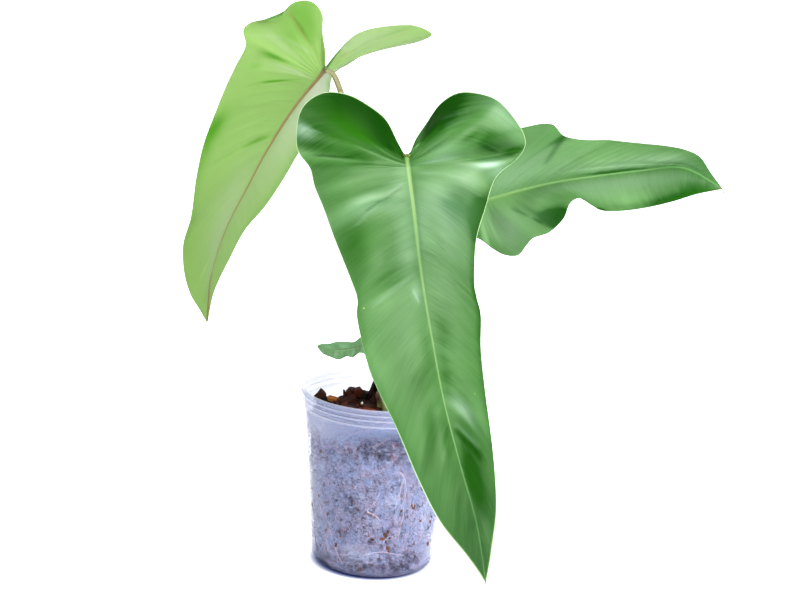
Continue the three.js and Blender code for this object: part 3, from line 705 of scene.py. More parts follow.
# Splashes: the place's angle in degrees and height, then the splash's own width and height.
SPLASHES = [
    [10, 33.7, 2.8, 3.4], [12, 36.0, 1.4, 2.6], [8.5, 31.0, 2.4, 1.6], [14, 31.5, 1.6, 1.2],
    [6, 30.5, 1.4, 1.2], [11, 29.0, 1.6, 1.6], [13, 24.3, 2.0, 2.2], [14, 22.0, 1.0, 2.0],
    [-1, 30.2, 2.2, 1.4], [2, 31.5, 1.0, 0.8], [17, 34.0, 1.0, 0.8], [-4, 32.5, 1.4, 0.9],
    [7, 26.5, 1.2, 1.0], [-14, 50.5, 1.7, 1.5], [33, 51.4, 2.0, 1.8], [31, 53.6, 1.5, 1.7],
    [22, 50.4, 1.7, 1.4], [-54, 52.0, 1.6, 1.5], [-33, 54.0, 1.4, 1.3], [-30, 32.0, 2.2, 1.4],
    [-29, 29.0, 1.6, 1.0], [-34, 21.8, 1.4, 2.6], [57, 21.9, 2.2, 3.6], [55, 38.0, 1.6, 2.4],
    [54, 33.5, 1.8, 1.8], [56, 41.0, 1.2, 1.8], [-14, 10.0, 1.6, 1.4], [3, 37.2, 1.0, 0.9],
    [0, 46.0, 1.2, 1.0], [28, 45.5, 1.2, 1.4], [38, 25.0, 1.4, 1.2], [44, 29.0, 1.0, 0.9],
    [-66, 54.0, 1.6, 1.2], [6, 16.5, 1.6, 1.2], [-10, 7.5, 2.0, 1.6], [-28, 41.0, 1.4, 0.8],
    [36, 29.0, 1.2, 0.8],
]

# Roots: radius, then points of angle in degrees and height. Their middles lie inside the wall by the inset.
ROOT_INSET = 0.9
WALL_ROOTS = [
    [0.55, [19, 77], [23, 72], [25, 64], [24, 54], [25, 45], [23, 37], [22, 29]],
    [0.65, [22, 72], [20, 64], [19, 57], [17, 52]], [0.4, [3, 63], [1, 58], [-4, 52], [-9, 49]],
    [0.7, [-6, 48.5], [0, 46.8], [5, 43]], [0.45, [-7, 18], [2, 20], [11, 20.5], [22, 18.5], [30, 17]],
    [0.25, [-28, 96], [-22, 101], [-12, 105], [4, 110]], [0.18, [-8, 94], [2, 97], [8, 101], [24, 103]],
    [0.4, [-44, 31], [-40, 24], [-34, 14], [-28, 8]], [0.35, [-44, 30], [-48, 22], [-46, 14]],
    [0.5, [110, 80], [120, 60], [112, 40], [124, 22]], [0.5, [200, 90], [190, 70], [204, 50], [196, 30]],
    [0.45, [150, 30], [165, 26], [180, 33], [197, 28]], [0.45, [255, 75], [245, 60], [262, 44], [250, 25]],
]

# A stalk's ends close in rings of these shares of its radius, which rise over a circle's height times
# DOME_RISE. Its groove's bell is this wide, in radians.
DOME_RINGS = (0.0, 0.55, 0.87)
DOME_RISE = 0.6
GROOVE_HALF = 0.7


def wall_place(angle, height, inset):
    """Points by the inside of the wall, moved in by inset. angle 0 is towards -Y and grows towards +X."""
    radius = CUP_BASE_RADIUS + cup_slope * height - CUP_WALL - inset
    return np.stack([radius * np.sin(angle), -radius * np.cos(angle), height], -1)


def unit(vectors):
    """Each vector at the length 1."""
    return vectors / np.maximum(np.linalg.norm(vectors, axis=-1, keepdims=True), 1e-12)


def smooth_rows(rows, share):
    """Catmull-Rom interpolation of evenly numbered rows, for shares from 0 to 1: between two rows it is the
    cubic that passes through both with half the difference of their neighbours as slopes. Past each end
    the last step is repeated."""
    rows = np.asarray(rows, float)
    rows = np.vstack([2 * rows[0] - rows[1], rows, 2 * rows[-1] - rows[-2]])
    spans = len(rows) - 3
    place = np.clip(np.asarray(share, float), 0, 1) * spans
    i = np.minimum(place.astype(int), spans - 1)
    f = (place - i)[..., None]
    a, b, c, d = rows[i], rows[i + 1], rows[i + 2], rows[i + 3]
    return b + 0.5 * f * (c - a + f * (2 * a - 5 * b + 4 * c - d + f * (3 * (b - c) + d - a)))


def heading(path, share, step):
    """The way that a smooth path goes at each share: from a step before it to a step after it."""
    before = smooth_rows(path, np.maximum(share - step, 0))
    after = smooth_rows(path, np.minimum(share + step, 1))
    return unit(after - before)


def stalk(path, radius, face, sides=28, rings=120, groove=0.0):
    """A round stalk along a smooth path. Ring i lies across the path at share i, with radius(share), and
    its angle 0 points towards face. groove draws that side in by a bell across the angle, as a share of
    the radius. The ends close in small domes. Returns the points, the faces and the numbers that tell how
    far along the stalk and round it each point is."""
    dome = np.array(DOME_RINGS)
    rise = np.sqrt(1 - dome ** 2) * DOME_RISE
    share = np.pad(np.linspace(0, 1, rings), len(dome), "edge")
    ahead = heading(path, share, 0.01)
    front = np.asarray(face, float)
    front = unit(front - (ahead @ front)[:, None] * ahead)
    beside = np.cross(ahead, front)
    size = radius(share)
    out = np.concatenate([-rise, np.zeros(rings), rise[::-1]]) * size
    size = np.concatenate([dome, np.ones(rings), dome[::-1]]) * size
    centre = smooth_rows(path, share) + ahead * out[:, None]
    angle = np.arange(sides) * 2 * np.pi / sides
    turned_in = 1 - groove * np.exp(-(np.minimum(angle, 2 * np.pi - angle) / GROOVE_HALF) ** 2)
    ring = front[:, None] * np.cos(angle)[None, :, None] + beside[:, None] * np.sin(angle)[None, :, None]
    points = centre[:, None] + ring * turned_in[None, :, None] * size[:, None, None]
    numbers = {
        "along": np.repeat(share, sides),
        "round": np.tile(angle / (2 * np.pi), len(share)),
    }
    return points.reshape(-1, 3), tube_faces(len(share), sides), numbers


def mostly_small(draw, smallest, spread, count):
    """Sizes by the cube of an even draw, so that most are near the smallest."""
    return smallest + spread * draw.uniform(0, 1, count) ** 3


def merged(parts):
    """Several meshes as one: all their points, and their faces with the numbers moved on."""
    points, faces, seen = [], [], 0
    for part_points, part_faces in parts:
        points.append(part_points)
        faces.append(part_faces + seen)
        seen += len(part_points)
    return np.concatenate(points), np.concatenate(faces)


draw = np.random.default_rng(31)
grain_angle = draw.uniform(-np.pi, np.pi, WALL_GRAINS)
grain_height = draw.uniform(*GRAIN_HEIGHTS, WALL_GRAINS)
grain_places = wall_place(grain_angle, grain_height, GRAIN_INSET)
grain_sizes = np.stack([
    mostly_small(draw, 0.7, 2.6, WALL_GRAINS),
    np.full(WALL_GRAINS, GRAIN_THICKNESS),
    mostly_small(draw, 0.7, 2.2, WALL_GRAINS),
], 1)
grain_angles = np.stack([0 * grain_angle, draw.uniform(-0.2, 0.2, WALL_GRAINS), grain_angle], 1)
grain_material = bark_finish("dark_grains", bark_dark, bark_brown, paint(100, 64, 50))
grains = scattered("wall_grains", grain_places, grain_sizes, grain_angles, grain_material, 32, roundness=0.6)
belongs(grains, "potting_mix")

# The listed splashes are followed by specks of dust, with the same four numbers each.
dust = np.stack([
    draw.uniform(-180, 180, DUST_SPECKS),
    draw.uniform(*DUST_HEIGHTS, DUST_SPECKS),
    mostly_small(draw, 0.5, 1.4, DUST_SPECKS),
    mostly_small(draw, 0.5, 1.4, DUST_SPECKS),
], 1)
splash_angle, splash_height, splash_width, splash_rise = np.concatenate([SPLASHES, dust]).T
splash_angle = np.radians(splash_angle)
splash_places = wall_place(splash_angle, splash_height, -CUP_WALL)
splash_sizes = np.stack([splash_width, np.full(len(splash_width), SPLASH_THICKNESS), splash_rise], 1)
splash_tilt = draw.uniform(-0.5, 0.5, len(splash_angle))
splash_turns = np.stack([0 * splash_angle, splash_tilt, splash_angle], 1)
splash_material = bark_finish("rusty_dust", paint(54, 38, 36), paint(76, 50, 36), paint(96, 58, 32))
splashes = scattered("wall_splashes", splash_places, splash_sizes, splash_turns, splash_material, 33,
                     roundness=0.7, rough=0.1)
belongs(splashes, "cup")

root_finish = Finish("pale_roots")
root_paint = root_finish.principled(Base_Color=paint(142, 116, 106), Roughness=0.7)
roots = []
for radius, *spots in WALL_ROOTS:
    angle, height = np.array(spots, float).T
    root_path = wall_place(np.radians(angle), height, ROOT_INSET)
    root_points, root_faces, _ = stalk(root_path, lambda share: radius * (1 - 0.5 * share), (0, 0, 1),
                                       sides=8, rings=48)
    roots.append((root_points, root_faces))
root_points, root_faces = merged(roots)
root_mesh = make_piece("wall_roots", root_points * MM, root_faces, root_finish.surface(root_paint))
close_up(root_mesh)
belongs(root_mesh, "potting_mix")


# The stem. A short upright stem of green tissue browned by old leaf scars, ringed at each node, that the
# leaf stalks clasp with their sheaths. It stands in the mix.

STEM_FOOT = (4.0, 2.0, 62.0)
STEM_TOP = (5.0, 1.0, 152.0)
STEM_RADIUS = 7.2
STEM_NODES = (0.58, 0.74, 0.9)
STEM_NODE_RISE = 1.3
STEM_NODE_WIDTH = 0.03
STEM_TIP_SHARE = 0.08
STEM_TIP_NARROWING = 0.6


def stem_radius(share):
    """The stem's radius: it swells in a bell at each node and narrows at the tip."""
    swelling = sum(np.exp(-((share - node) / STEM_NODE_WIDTH) ** 2) for node in STEM_NODES)
    narrowing = STEM_TIP_NARROWING * np.clip((share - 1 + STEM_TIP_SHARE) / STEM_TIP_SHARE, 0, 1) ** 2
    return STEM_RADIUS * (1 - narrowing) + STEM_NODE_RISE * swelling


def stem_finish():
    """Olive-green skin with dry brown rings and lengthwise cracks."""
    look = Finish("stem_skin")
    where = look.place()
    along = look.number("along")
    bark = look.mottle(where, 160.0, 4.0, 0.65)
    stretch = look.add("ShaderNodeMapping", None, {"Vector": where, "Scale": (1.0, 1.0, 0.15)})
    cracks = look.mottle(stretch, 900.0, 3.0, 0.6)
    rings = sum(abs(along - node).ramp(0.035, 0.008) for node in STEM_NODES)
    colour = look.blend(paint(104, 112, 52), paint(84, 64, 38), bark.ramp(0.4, 0.6))
    colour = look.blend(colour, paint(66, 44, 28), (rings + cracks.ramp(0.6, 0.75) * 0.6).within(0, 1))
    shader = look.principled(Base_Color=colour, Roughness=0.6, Normal=look.bump(cracks + bark, 0.0006))
    return look.surface(shader)


stem_points, stem_faces, stem_numbers = stalk([STEM_FOOT, STEM_TOP], stem_radius, (0, -1, 0),
                                              sides=40, rings=200)
stem = make_piece("ringed_stem", stem_points * MM, stem_faces, stem_finish(), stem_numbers)
close_up(stem)
belongs(stem, "stem", "stem")


# The leaf stalks. Each petiole clasps the stem with a widened sheath, is grooved on the side that faces the
# plant's middle, and ends in a joint where its blade begins: a dark one, or a pale one on the front leaf.

# Each stalk's path, its radii at the sheath, above the sheath and at the end, the way that its groove faces,
# and how dark its joint is.
PETIOLES = {
    "front": {
        "path": [[5, -1, 128], [5, -7, 156], [6, -13, 200], [7, -31, 245], [7, -56, 271], [7, -83, 285]],
        "radii": (4.4, 2.7, 1.9), "face": (0, 1, 0.3), "dark_joint": 0.0,
    },
    "left": {
        "path": [[3, 3, 118], [-1, 9, 150], [-8, 17, 195], [-20, 29, 245], [-34, 43, 296],
                 [-40, 50.5, 312], [-44.5, 54, 319.4], [-49, 55, 321]],
        "radii": (4.2, 2.5, 1.7), "face": (0.5, -1, 0.6), "dark_joint": 0.9,
    },
    "right": {
        "path": [[6, 2, 136], [9, 5, 160], [17, 14, 190], [30, 25, 220], [43, 27, 237], [52, 21, 241]],
        "radii": (4.0, 2.3, 1.5), "face": (-0.6, -0.6, 1), "dark_joint": 0.5,
    },
    "small": {
        "path": [[4, -8, 92], [2.5, -8.5, 108], [-3, -7, 125], [-9.5, -1.5, 142], [-12, 0, 147]],
        "radii": (3.0, 1.9, 1.0), "face": (1, 0.3, 0.5), "dark_joint": 0.5,
    },
}
SHEATH_SHARE = 0.14
PETIOLE_GROOVE = 0.16


def petiole_radius(radii):
    """A function of the share of the way: an even fall from the start's radius to the end's, and at the
    start a bell that widens it to the sheath's."""
    sheath, start, end = radii

    def radius(share):
        return start + (end - start) * share + (sheath - start) * np.exp(-(share / SHEATH_SHARE) ** 2)

    return radius


def petiole_finish():
    """A smooth tan and olive stalk with fine lengthwise lines, greener at the sheath. Its end is brown and
    sharply set off where the joint is dark, and goes over to pale green where it isn't."""
    look = Finish("petiole_skin")
    where = look.place()
    along, joint = look.number("along"), look.number("joint")
    lines = look.mottle(look.point(along * 3.0, look.number("round") * 34.0, 0.0), 1.0, 3.0, 0.6)
    flecks = look.mottle(where, 900.0, 2.0, 0.5)
    tone = look.mottle(where, 40.0, 3.0, 0.5)
    colour = look.blend(paint(66, 78, 34), paint(94, 92, 60), along.ramp(0.1, 0.75))
    colour = look.blend(colour, paint(80, 68, 44), tone.ramp(0.45, 0.75) * 0.6)
    colour = look.blend(colour, paint(134, 128, 92), flecks.ramp(0.66, 0.74) * 0.5)
    colour = look.blend(colour, paint(60, 48, 34), lines.ramp(0.55, 0.8) * 0.5)
    colour = look.blend(colour, paint(50, 40, 40), along.ramp(0.975, 0.99) * joint)
    colour = look.blend(colour, paint(126, 156, 92), along.ramp(0.8, 0.9) * (1 - joint))
    shader = look.principled(Base_Color=colour, Roughness=0.42, Normal=look.bump(lines, 0.0003))
    return look.surface(shader)


petiole_material = petiole_finish()
for which, petiole in PETIOLES.items():
    radius = petiole_radius(petiole["radii"])
    points, faces, numbers = stalk(petiole["path"], radius, petiole["face"], groove=PETIOLE_GROOVE)
    numbers["joint"] = np.full(len(points), petiole["dark_joint"])
    piece = make_piece(f"{which}_petiole", points * MM, faces, petiole_material, numbers)
    close_up(piece)
    belongs(piece, "petiole", f"petiole_{which}")


# The blades. Long arrow-shaped leaves, leathery and thin, with a thick midrib under them, side veins that
# fan out from it and round the two lobes, and a fine pale edge. Each hangs from its petiole's joint.

# Half the blade's thickness inside and at its rim, and the band at the rim over which it gets thinner.
BLADE_HALF = 0.3
RIM_HALF = 0.12
RIM_BAND = 1.5

# Side veins: their spacing, the rows of points from one to the next, their ridges' height, and their ridges'
# half width as a share of the spacing. The ridges come in over a share of the rib's length.
VEIN_SPACING = 18.0
ROWS_PER_VEIN = 12
VEIN_RIDGE = 0.12
VEIN_HALF = 0.09
VEIN_START = 0.05

# The midrib's half width where its height below is the full one, and its height above.
MIDRIB_HALF = 1.7
MIDRIB_FULL = 1.7
MIDRIB_ABOVE = 0.1

# The share of a rib's forward way that goes straight, and the shares of its length over which dents and
# quilting come in and quilting fades out again.
RIB_SWEEP = 0.35
DENT_START = 0.3
QUILT_START = 0.12
QUILT_END = 0.3

# The angle from which a curl bends the edge in full, and one so small that it bends nothing.
FULL_CURL = 0.15
NO_CURL = 1e-4

# The streaks of the skin: where along the midrib the lobes' arcs end and over what share they fade, how they
# drift and flow from rib to rib, and how much their slant eases towards the rim.
LOBE_END = 0.055
LOBE_FADE = 0.03
LOBE_DRIFT = 0.8
LOBE_FLOW = 0.15
SLANT_EASE = 0.4

# Each leaf has its midrib's height and points, its bulge as a share of a half's width, its quilting's height
# and how far its streaks lean forward in the left and the right half. A row of ribs is how far along the
# midrib the rib starts, then its left and its right end at the blade's edge. The other tables hold marks,
# placed by the half of the blade (-1 left, 1 right), the rib's number from 0 and the share of its length.
# Dents rise, tones paint light onto the green, blooms add wax with a painted highlight and lined marks
# sharpen the streaks, or the opposite below 0, where tones paint shade: half, rib, share, amount, spread over
# ribs and spread along the rib.
# Curls bend the edge: half, rib, spread over ribs, angle and the share of the rib that bends.
# Lobe ribs are fine lines in the midrib's colour, and creases are fine reliefs painted with a highlight, or
# with a shade below 0: half, rib and share at the start, rib and share at the end, strength and half width.
# Specks are single spots: place, size and colour.
FRONT_LEAF = {
    "midrib_height": 1.7, "bulge": 0.06, "quilt": 0.05, "slants": (0.45, 0.75),
    "midrib": [
        [7, -85, 287.5], [13, -100, 257], [19, -114, 224], [27, -127, 190],
        [36, -137, 155], [47, -144, 121], [59, -149, 86], [67, -152, 50],
    ],
    "ribs": [
        [0, [5.5, -85.5, 288], [8.5, -85, 288]],
        [0.7, [0, -80, 297.5], [12, -78, 298]],
        [1.4, [-7, -72, 308], [17.5, -70, 306]],
        [2.1, [-18.5, -65, 315], [25.5, -63, 317.5]],
        [2.8, [-31, -64, 320], [36, -58, 324]],
        [3.5, [-44.5, -68, 320.5], [49, -57, 324]],
        [4.2, [-54.5, -76, 314.5], [61, -60, 320]],
        [5, [-58, -89, 306], [73.5, -60, 307]],
        [6, [-57, -97, 291], [79, -57, 296]],
        [7, [-49, -104, 281], [74, -62, 287]],
        [9, [-45.5, -109, 271], [61, -72, 276]],
        [20, [-39.5, -115, 259.5], [55.5, -82, 259]],
        [34, [-32, -123, 243], [51, -92, 241]],
        [56, [-21.5, -132, 222], [51, -101, 219]],
        [66, [-17, -136, 212], [53, -103.5, 209]],
        [77, [-16, -140, 200], [56, -106, 199]],
        [101, [-7, -148, 172.5], [57, -114, 180]],
        [126, [10, -154, 141], [61, -121, 156]],
        [150, [24, -159, 113], [67, -131, 125]],
        [178, [38, -160, 88.5], [71, -140, 94]],
        [212, [54.5, -156, 67.5], [70, -147, 69]],
        [259, [66.6, -152, 50], [67.4, -152, 50]],
    ],
    "dents": [
        [-1, 5.5, 0.5, 6, 3, 0.35], [-1, 8.3, 0.78, -2.0, 0.6, 0.3], [1, 3.4, 0.62, 4, 2.4, 0.22],
        [1, 6.4, 0.6, 1, 1.4, 0.35], [1, 8.2, 0.76, -4.5, 0.8, 0.24], [1, 10.2, 0.72, 1.2, 0.9, 0.28],
        [-1, 11.3, 0.4, -1.0, 0.25, 0.3], [-1, 12.6, 0.7, 2.5, 1.2, 0.3], [-1, 14.9, 0.4, -0.35, 0.25, 0.3],
        [1, 18.7, 0.5, -1.6, 0.3, 0.3], [1, 18.2, 0.6, 1.2, 0.3, 0.25], [-1, 18.1, 0.57, -0.8, 0.3, 0.2],
        [-1, 18.8, 0.46, 1.0, 0.3, 0.25],
    ],
    "curls": [],
    "lined": [
        [1, 12.8, 0.35, 3.2, 0.6, 0.3], [1, 15.5, 0.35, 2.2, 0.5, 0.25], [1, 11.0, 0.6, 1.8, 0.4, 0.3],
        [1, 5.0, 0.6, 1.6, 1.0, 0.3], [-1, 7.8, 0.8, 2.0, 0.8, 0.3], [-1, 16.5, 0.4, 1.2, 0.5, 0.3],
        [-1, 7.2, 0.22, -0.8, 2.2, 0.22], [1, 7.2, 0.22, -0.8, 2.2, 0.22], [-1, 4.5, 0.6, -0.5, 1.2, 0.3],
    ],
    "tones_and_light": [
        [-1, 2.8, 0.75, -1.2, 2.3, 0.6], [-1, 7.7, 0.85, -0.25, 0.3, 0.3], [-1, 8.5, 0.75, 0.45, 0.35, 0.4],
        [-1, 11.4, 0.65, 0.5, 0.4, 0.35], [-1, 10.9, 0.5, -0.25, 0.25, 0.35],
        [-1, 12.3, 0.85, -0.22, 0.5, 0.25], [-1, 14.2, 0.5, -0.25, 1.0, 0.4],
        [-1, 15.8, 0.97, 0.3, 0.5, 0.15], [-1, 17.1, 0.3, -0.2, 0.4, 0.3], [-1, 17.9, 0.6, 0.1, 0.3, 0.2],
        [-1, 6.2, 0.7, 0.15, 0.7, 0.3], [-1, 8.3, 0.43, -0.4, 0.8, 0.14], [-1, 1.8, 0.62, -0.4, 0.9, 0.3],
        [-1, 8.3, 0.96, 0.5, 0.3, 0.1], [-1, 6.5, 0.8, -0.2, 0.6, 0.15], [-1, 10.4, 0.74, 0.35, 0.35, 0.25],
        [-1, 7.2, 0.16, 0.2, 0.5, 0.12], [-1, 13.6, 0.15, 0.3, 0.5, 0.16], [-1, 18.1, 0.5, -0.2, 0.3, 0.25],
        [-1, 15.0, 0.73, 0.15, 0.4, 0.3], [-1, 16.4, 0.9, 0.15, 0.4, 0.2], [-1, 19.1, 0.7, 0.15, 0.3, 0.3],
        [-1, 16.5, 0.14, -0.15, 0.4, 0.1], [-1, 11.0, 0.12, 0.2, 0.4, 0.12],
        [-1, 18.5, 0.12, -0.1, 0.3, 0.12], [-1, 17.7, 0.45, -0.15, 0.2, 0.2],
        [-1, 15.3, 0.95, -0.1, 0.5, 0.15], [1, 3.4, 0.8, -1.1, 1.3, 0.35], [1, 6.4, 0.28, 0.3, 1.6, 0.2],
        [1, 7.1, 0.68, -0.3, 0.5, 0.15], [1, 6.4, 0.6, -0.4, 0.25, 0.12], [1, 7.2, 0.35, -0.3, 0.6, 0.15],
        [1, 5.2, 0.62, 0.35, 0.4, 0.15], [1, 5.7, 0.72, 0.3, 0.3, 0.12], [1, 6.8, 0.72, -0.2, 0.25, 0.08],
        [-1, 9.8, 0.05, 0.35, 1.3, 0.12], [1, 9.4, 0.05, 0.35, 0.8, 0.1], [1, 14.5, 0.98, -0.35, 2.5, 0.07],
        [1, 16.2, 0.28, -0.22, 0.5, 0.18], [1, 19.2, 0.35, -0.2, 0.5, 0.3],
        [-1, 18.6, 0.25, -0.12, 0.3, 0.2], [-1, 4.4, 0.62, -0.12, 0.8, 0.2],
        [1, 9.9, 0.84, -0.06, 0.25, 0.1], [1, 8.3, 0.92, -0.5, 0.3, 0.11], [1, 7.3, 1.0, 0.45, 0.6, 0.09],
        [1, 6.0, 0.9, 0.15, 1.0, 0.12], [1, 9.95, 0.5, 0.1, 0.3, 0.5], [1, 9.2, 0.72, 0.5, 0.4, 0.16],
        [1, 10.3, 0.66, 0.35, 0.3, 0.25], [1, 11.0, 0.3, 0.3, 0.6, 0.25], [1, 11.3, 0.98, -1.0, 0.6, 0.14],
        [1, 11.46, 0.5, -0.2, 0.5, 0.2], [1, 10.4, 0.88, 0.2, 0.3, 0.15], [1, 16.8, 0.15, -0.12, 0.9, 0.13],
        [1, 18.7, 0.36, 0.25, 0.2, 0.2], [1, 17.76, 0.46, -0.2, 0.25, 0.2], [1, 19.3, 0.5, -0.15, 0.5, 0.3],
        [1, 17.6, 0.12, -0.1, 0.4, 0.1], [1, 19.6, 0.25, -0.2, 0.25, 0.25], [1, 20.0, 0.75, 0.2, 0.3, 0.3],
        [1, 11.35, 0.62, -0.5, 0.8, 0.26], [1, 13.2, 0.6, -0.08, 1.2, 0.5],
        [1, 17.2, 0.2, -0.15, 0.45, 0.28], [1, 17.6, 0.8, 0.35, 0.4, 0.2],
        [1, 18.8, 0.46, -0.32, 0.7, 0.35], [1, 19.5, 0.45, -0.15, 0.25, 0.3],
    ],
    "blooms_and_highlights": [
        [1, 6.2, 0.32, 0.15, 1.5, 0.16], [-1, 7.25, 0.95, 0.5, 0.3, 0.1], [-1, 11.5, 0.55, 0.25, 0.35, 0.3],
        [-1, 5.7, 0.6, -0.55, 1.5, 0.24], [1, 9.4, 0.78, 0.8, 0.22, 0.1], [1, 9.3, 0.74, 0.25, 0.55, 0.18],
        [1, 9.75, 0.98, 0.35, 0.3, 0.08], [1, 7.8, 0.24, 0.3, 0.7, 0.14], [-1, 12.9, 0.16, 0.13, 2.0, 0.2],
        [1, 12.4, 0.12, 0.11, 0.9, 0.12], [-1, 12.4, 0.58, -0.15, 0.5, 0.25], [1, 6.2, 0.95, 0.2, 1.0, 0.1],
        [1, 11.6, 0.5, 0.25, 1.0, 0.35], [1, 17.9, 0.4, 0.3, 0.22, 0.25], [-1, 15.3, 0.12, 0.2, 0.25, 0.08],
    ],
    "lobe_ribs": [[-1, 3.0, 0.12, 6.6, 0.8, 0.2, 0.8], [1, 3.0, 0.12, 6.4, 0.8, 0.25, 0.8]],
    "specks": [
        [(9.8, -92.1, 271.7), 0.9, (70, 66, 40)], [(-12.9, -136.7, 207.1), 0.7, (130, 146, 74)],
        [(54.3, -126.6, 156.9), 0.6, (120, 140, 66)], [(29.7, -153.8, 121.7), 0.8, (30, 60, 26)],
    ],
    "creases": [
        [1, 10.2, 0.08, 10.2, 0.36, 0.35, 1.0], [1, 10.2, 0.36, 10.36, 0.68, 0.25, 1.1],
        [-1, 10.72, 0.06, 11.21, 0.3, 0.5, 0.8], [-1, 10.95, 0.08, 11.5, 0.38, -0.5, 0.8],
        [-1, 11.4, 0.36, 11.66, 0.6, -1.2, 0.7], [-1, 11.55, 0.42, 11.98, 0.76, 0.6, 0.9],
        [-1, 15.18, 0.16, 15.58, 0.08, 0.6, 1.0], [1, 4.0, 0.6, 5.6, 0.74, 0.2, 1.2],
        [1, 3.4, 0.7, 5.4, 0.86, 0.2, 1.2], [1, 7.2, 0.56, 8.4, 0.97, -0.5, 5.0],
        [1, 7.2, 0.6, 8.2, 0.76, -0.5, 0.7], [1, 7.6, 0.66, 8.5, 0.84, 0.5, 0.6],
        [-1, 7.2, 0.95, 6.8, 0.62, 0.6, 0.7], [-1, 8.2, 0.95, 8.0, 0.5, -0.8, 0.7],
        [-1, 14.7, 0.06, 14.95, 0.78, 0.32, 1.8], [-1, 14.85, 0.1, 15.1, 0.73, -0.35, 0.8],
        [1, 17.26, 0.05, 17.0, 0.4, -0.12, 2.2], [-1, 17.9, 0.3, 18.21, 0.86, -0.35, 3.4],
        [1, 18.5, 0.1, 18.56, 0.7, -0.8, 1.6], [1, 18.35, 0.12, 18.4, 0.66, 0.35, 1.8],
    ],
}

LEFT_LEAF = {
    "midrib_height": 1.2, "bulge": 0.04, "quilt": 0.06, "slants": (0.0, 0.0),
    "midrib": [
        [-49, 55, 322], [-69, 70, 295], [-87, 82, 264], [-102, 93, 233],
        [-117, 103, 200], [-127, 110, 165], [-129, 112, 129],
    ],
    "ribs": [
        [0, [-47.5, 56, 323], [-50, 55, 323.5]],
        [0.8, [-43, 60, 330], [-50, 55, 333]],
        [1.6, [-34, 66, 342], [-52.5, 55, 346]],
        [2.4, [-23, 72, 348], [-53, 52, 358]],
        [3.2, [-6, 80, 351], [-60, 47, 366]],
        [4, [9, 88, 351], [-71.5, 42, 366]],
        [5, [21, 97, 345], [-82, 38, 361.5]],
        [6, [11, 106, 338], [-94, 35, 355]],
        [8, [-4, 112, 335], [-102.5, 33, 347]],
        [9.5, [-21, 115, 329], [-101, 35, 336]],
        [11.5, [-35, 114, 320], [-107.5, 38, 322]],
        [16, [-46, 112, 312], [-114, 43, 307.5]],
        [29, [-49, 112, 297], [-121.5, 50, 288]],
        [46, [-57, 112, 276], [-129.5, 60, 265.5]],
        [64, [-68, 115, 256], [-135, 70, 240]],
        [82, [-78.5, 118, 235.5], [-139, 81, 212]],
        [102, [-91, 121, 214.5], [-145, 90, 190]],
        [124, [-105, 123, 196], [-145, 98, 169]],
        [149, [-115, 122, 175], [-141, 105, 151]],
        [179, [-125, 118, 151], [-134, 109, 138]],
        [222, [-128.6, 112, 129], [-129.4, 112, 129]],
    ],
    "dents": [
        [-1, 8, 0.5, 5, 3, 0.4], [1, 9.6, 0.68, 1.2, 0.5, 0.18], [1, 8.4, 0.7, -1.2, 0.5, 0.25],
    ],
    "curls": [[1, 6.1, 0.9, 2.6, 0.14]],
    "lined": [[1, 3.5, 0.5, 0.8, 2.0, 0.4]],
    "tones_and_light": [
        [1, 9.0, 0.61, -0.95, 0.32, 0.17], [1, 9.95, 0.76, -0.35, 0.2, 0.08], [1, 6.1, 1.0, 0.9, 0.8, 0.1],
        [1, 12.5, 0.95, -0.7, 0.5, 0.12], [1, 4.6, 0.72, -0.6, 1.2, 0.25], [1, 6.4, 0.56, -0.4, 0.8, 0.2],
        [1, 11.1, 0.45, -0.5, 0.1, 0.2], [1, 14.0, 0.25, -0.5, 0.12, 0.16], [1, 6, 0.95, -0.4, 1.6, 0.12],
        [-1, 12, 1.0, -0.4, 6, 0.16], [1, 13.2, 1.0, -0.5, 0.8, 0.12], [1, 15, 1.0, -0.3, 1.5, 0.1],
    ],
    "blooms_and_highlights": [
        [-1, 11, 0.45, 0.75, 4, 0.45], [-1, 11.2, 0.7, 0.4, 1.5, 0.3], [-1, 3, 0.75, 0.35, 2.5, 0.3],
        [1, 9.9, 0.3, 0.3, 0.4, 0.3], [1, 7.3, 0.55, 0.2, 0.5, 0.3], [1, 17.5, 0.3, 0.4, 2.5, 0.35],
    ],
    "lobe_ribs": [
        [1, 5.4, 0.86, 4.6, 0.5, 0.6, 1.2], [1, 4.6, 0.5, 2.2, 0.12, 0.5, 1.0],
        [-1, 1.6, 0.1, 3.6, 0.5, 0.9, 0.9], [-1, 3.6, 0.5, 5.2, 0.86, 0.7, 0.8],
    ],
    "specks": [],
    "creases": [
        [1, 5.3, 0.85, 4.2, 0.42, -0.8, 1.2], [1, 4.2, 0.42, 2.6, 0.2, -0.5, 1.0],
        [1, 4.6, 0.3, 6.6, 0.6, 0.6, 1.2], [1, 6.6, 0.6, 8.2, 0.92, 0.5, 1.4],
        [1, 12.0, 0.1, 12.3, 0.8, -0.25, 0.8], [1, 12.8, 0.1, 13.1, 0.8, 0.3, 0.8],
        [1, 14.9, 0.1, 14.9, 0.8, -0.25, 0.8], [1, 15.6, 0.1, 15.6, 0.85, 0.3, 0.8],
        [-1, 13.0, 0.1, 13.4, 0.85, -0.2, 0.8], [-1, 14.6, 0.1, 15.0, 0.85, -0.2, 0.8],
        [1, 9.9, 0.15, 9.6, 0.6, 0.6, 1.0], [1, 10.7, 0.15, 11.1, 0.58, -0.8, 1.0],
        [1, 10.9, 0.2, 11.3, 0.55, 0.5, 1.0], [1, 14.0, 0.08, 14.0, 0.5, -0.7, 1.2],
        [1, 14.0, 0.5, 13.9, 0.85, -0.4, 1.4], [-1, 0.8, 0.2, 4.2, 0.7, -1.0, 1.2],
        [-1, 4.2, 0.7, 4.9, 0.95, -0.8, 1.1],
    ],
}

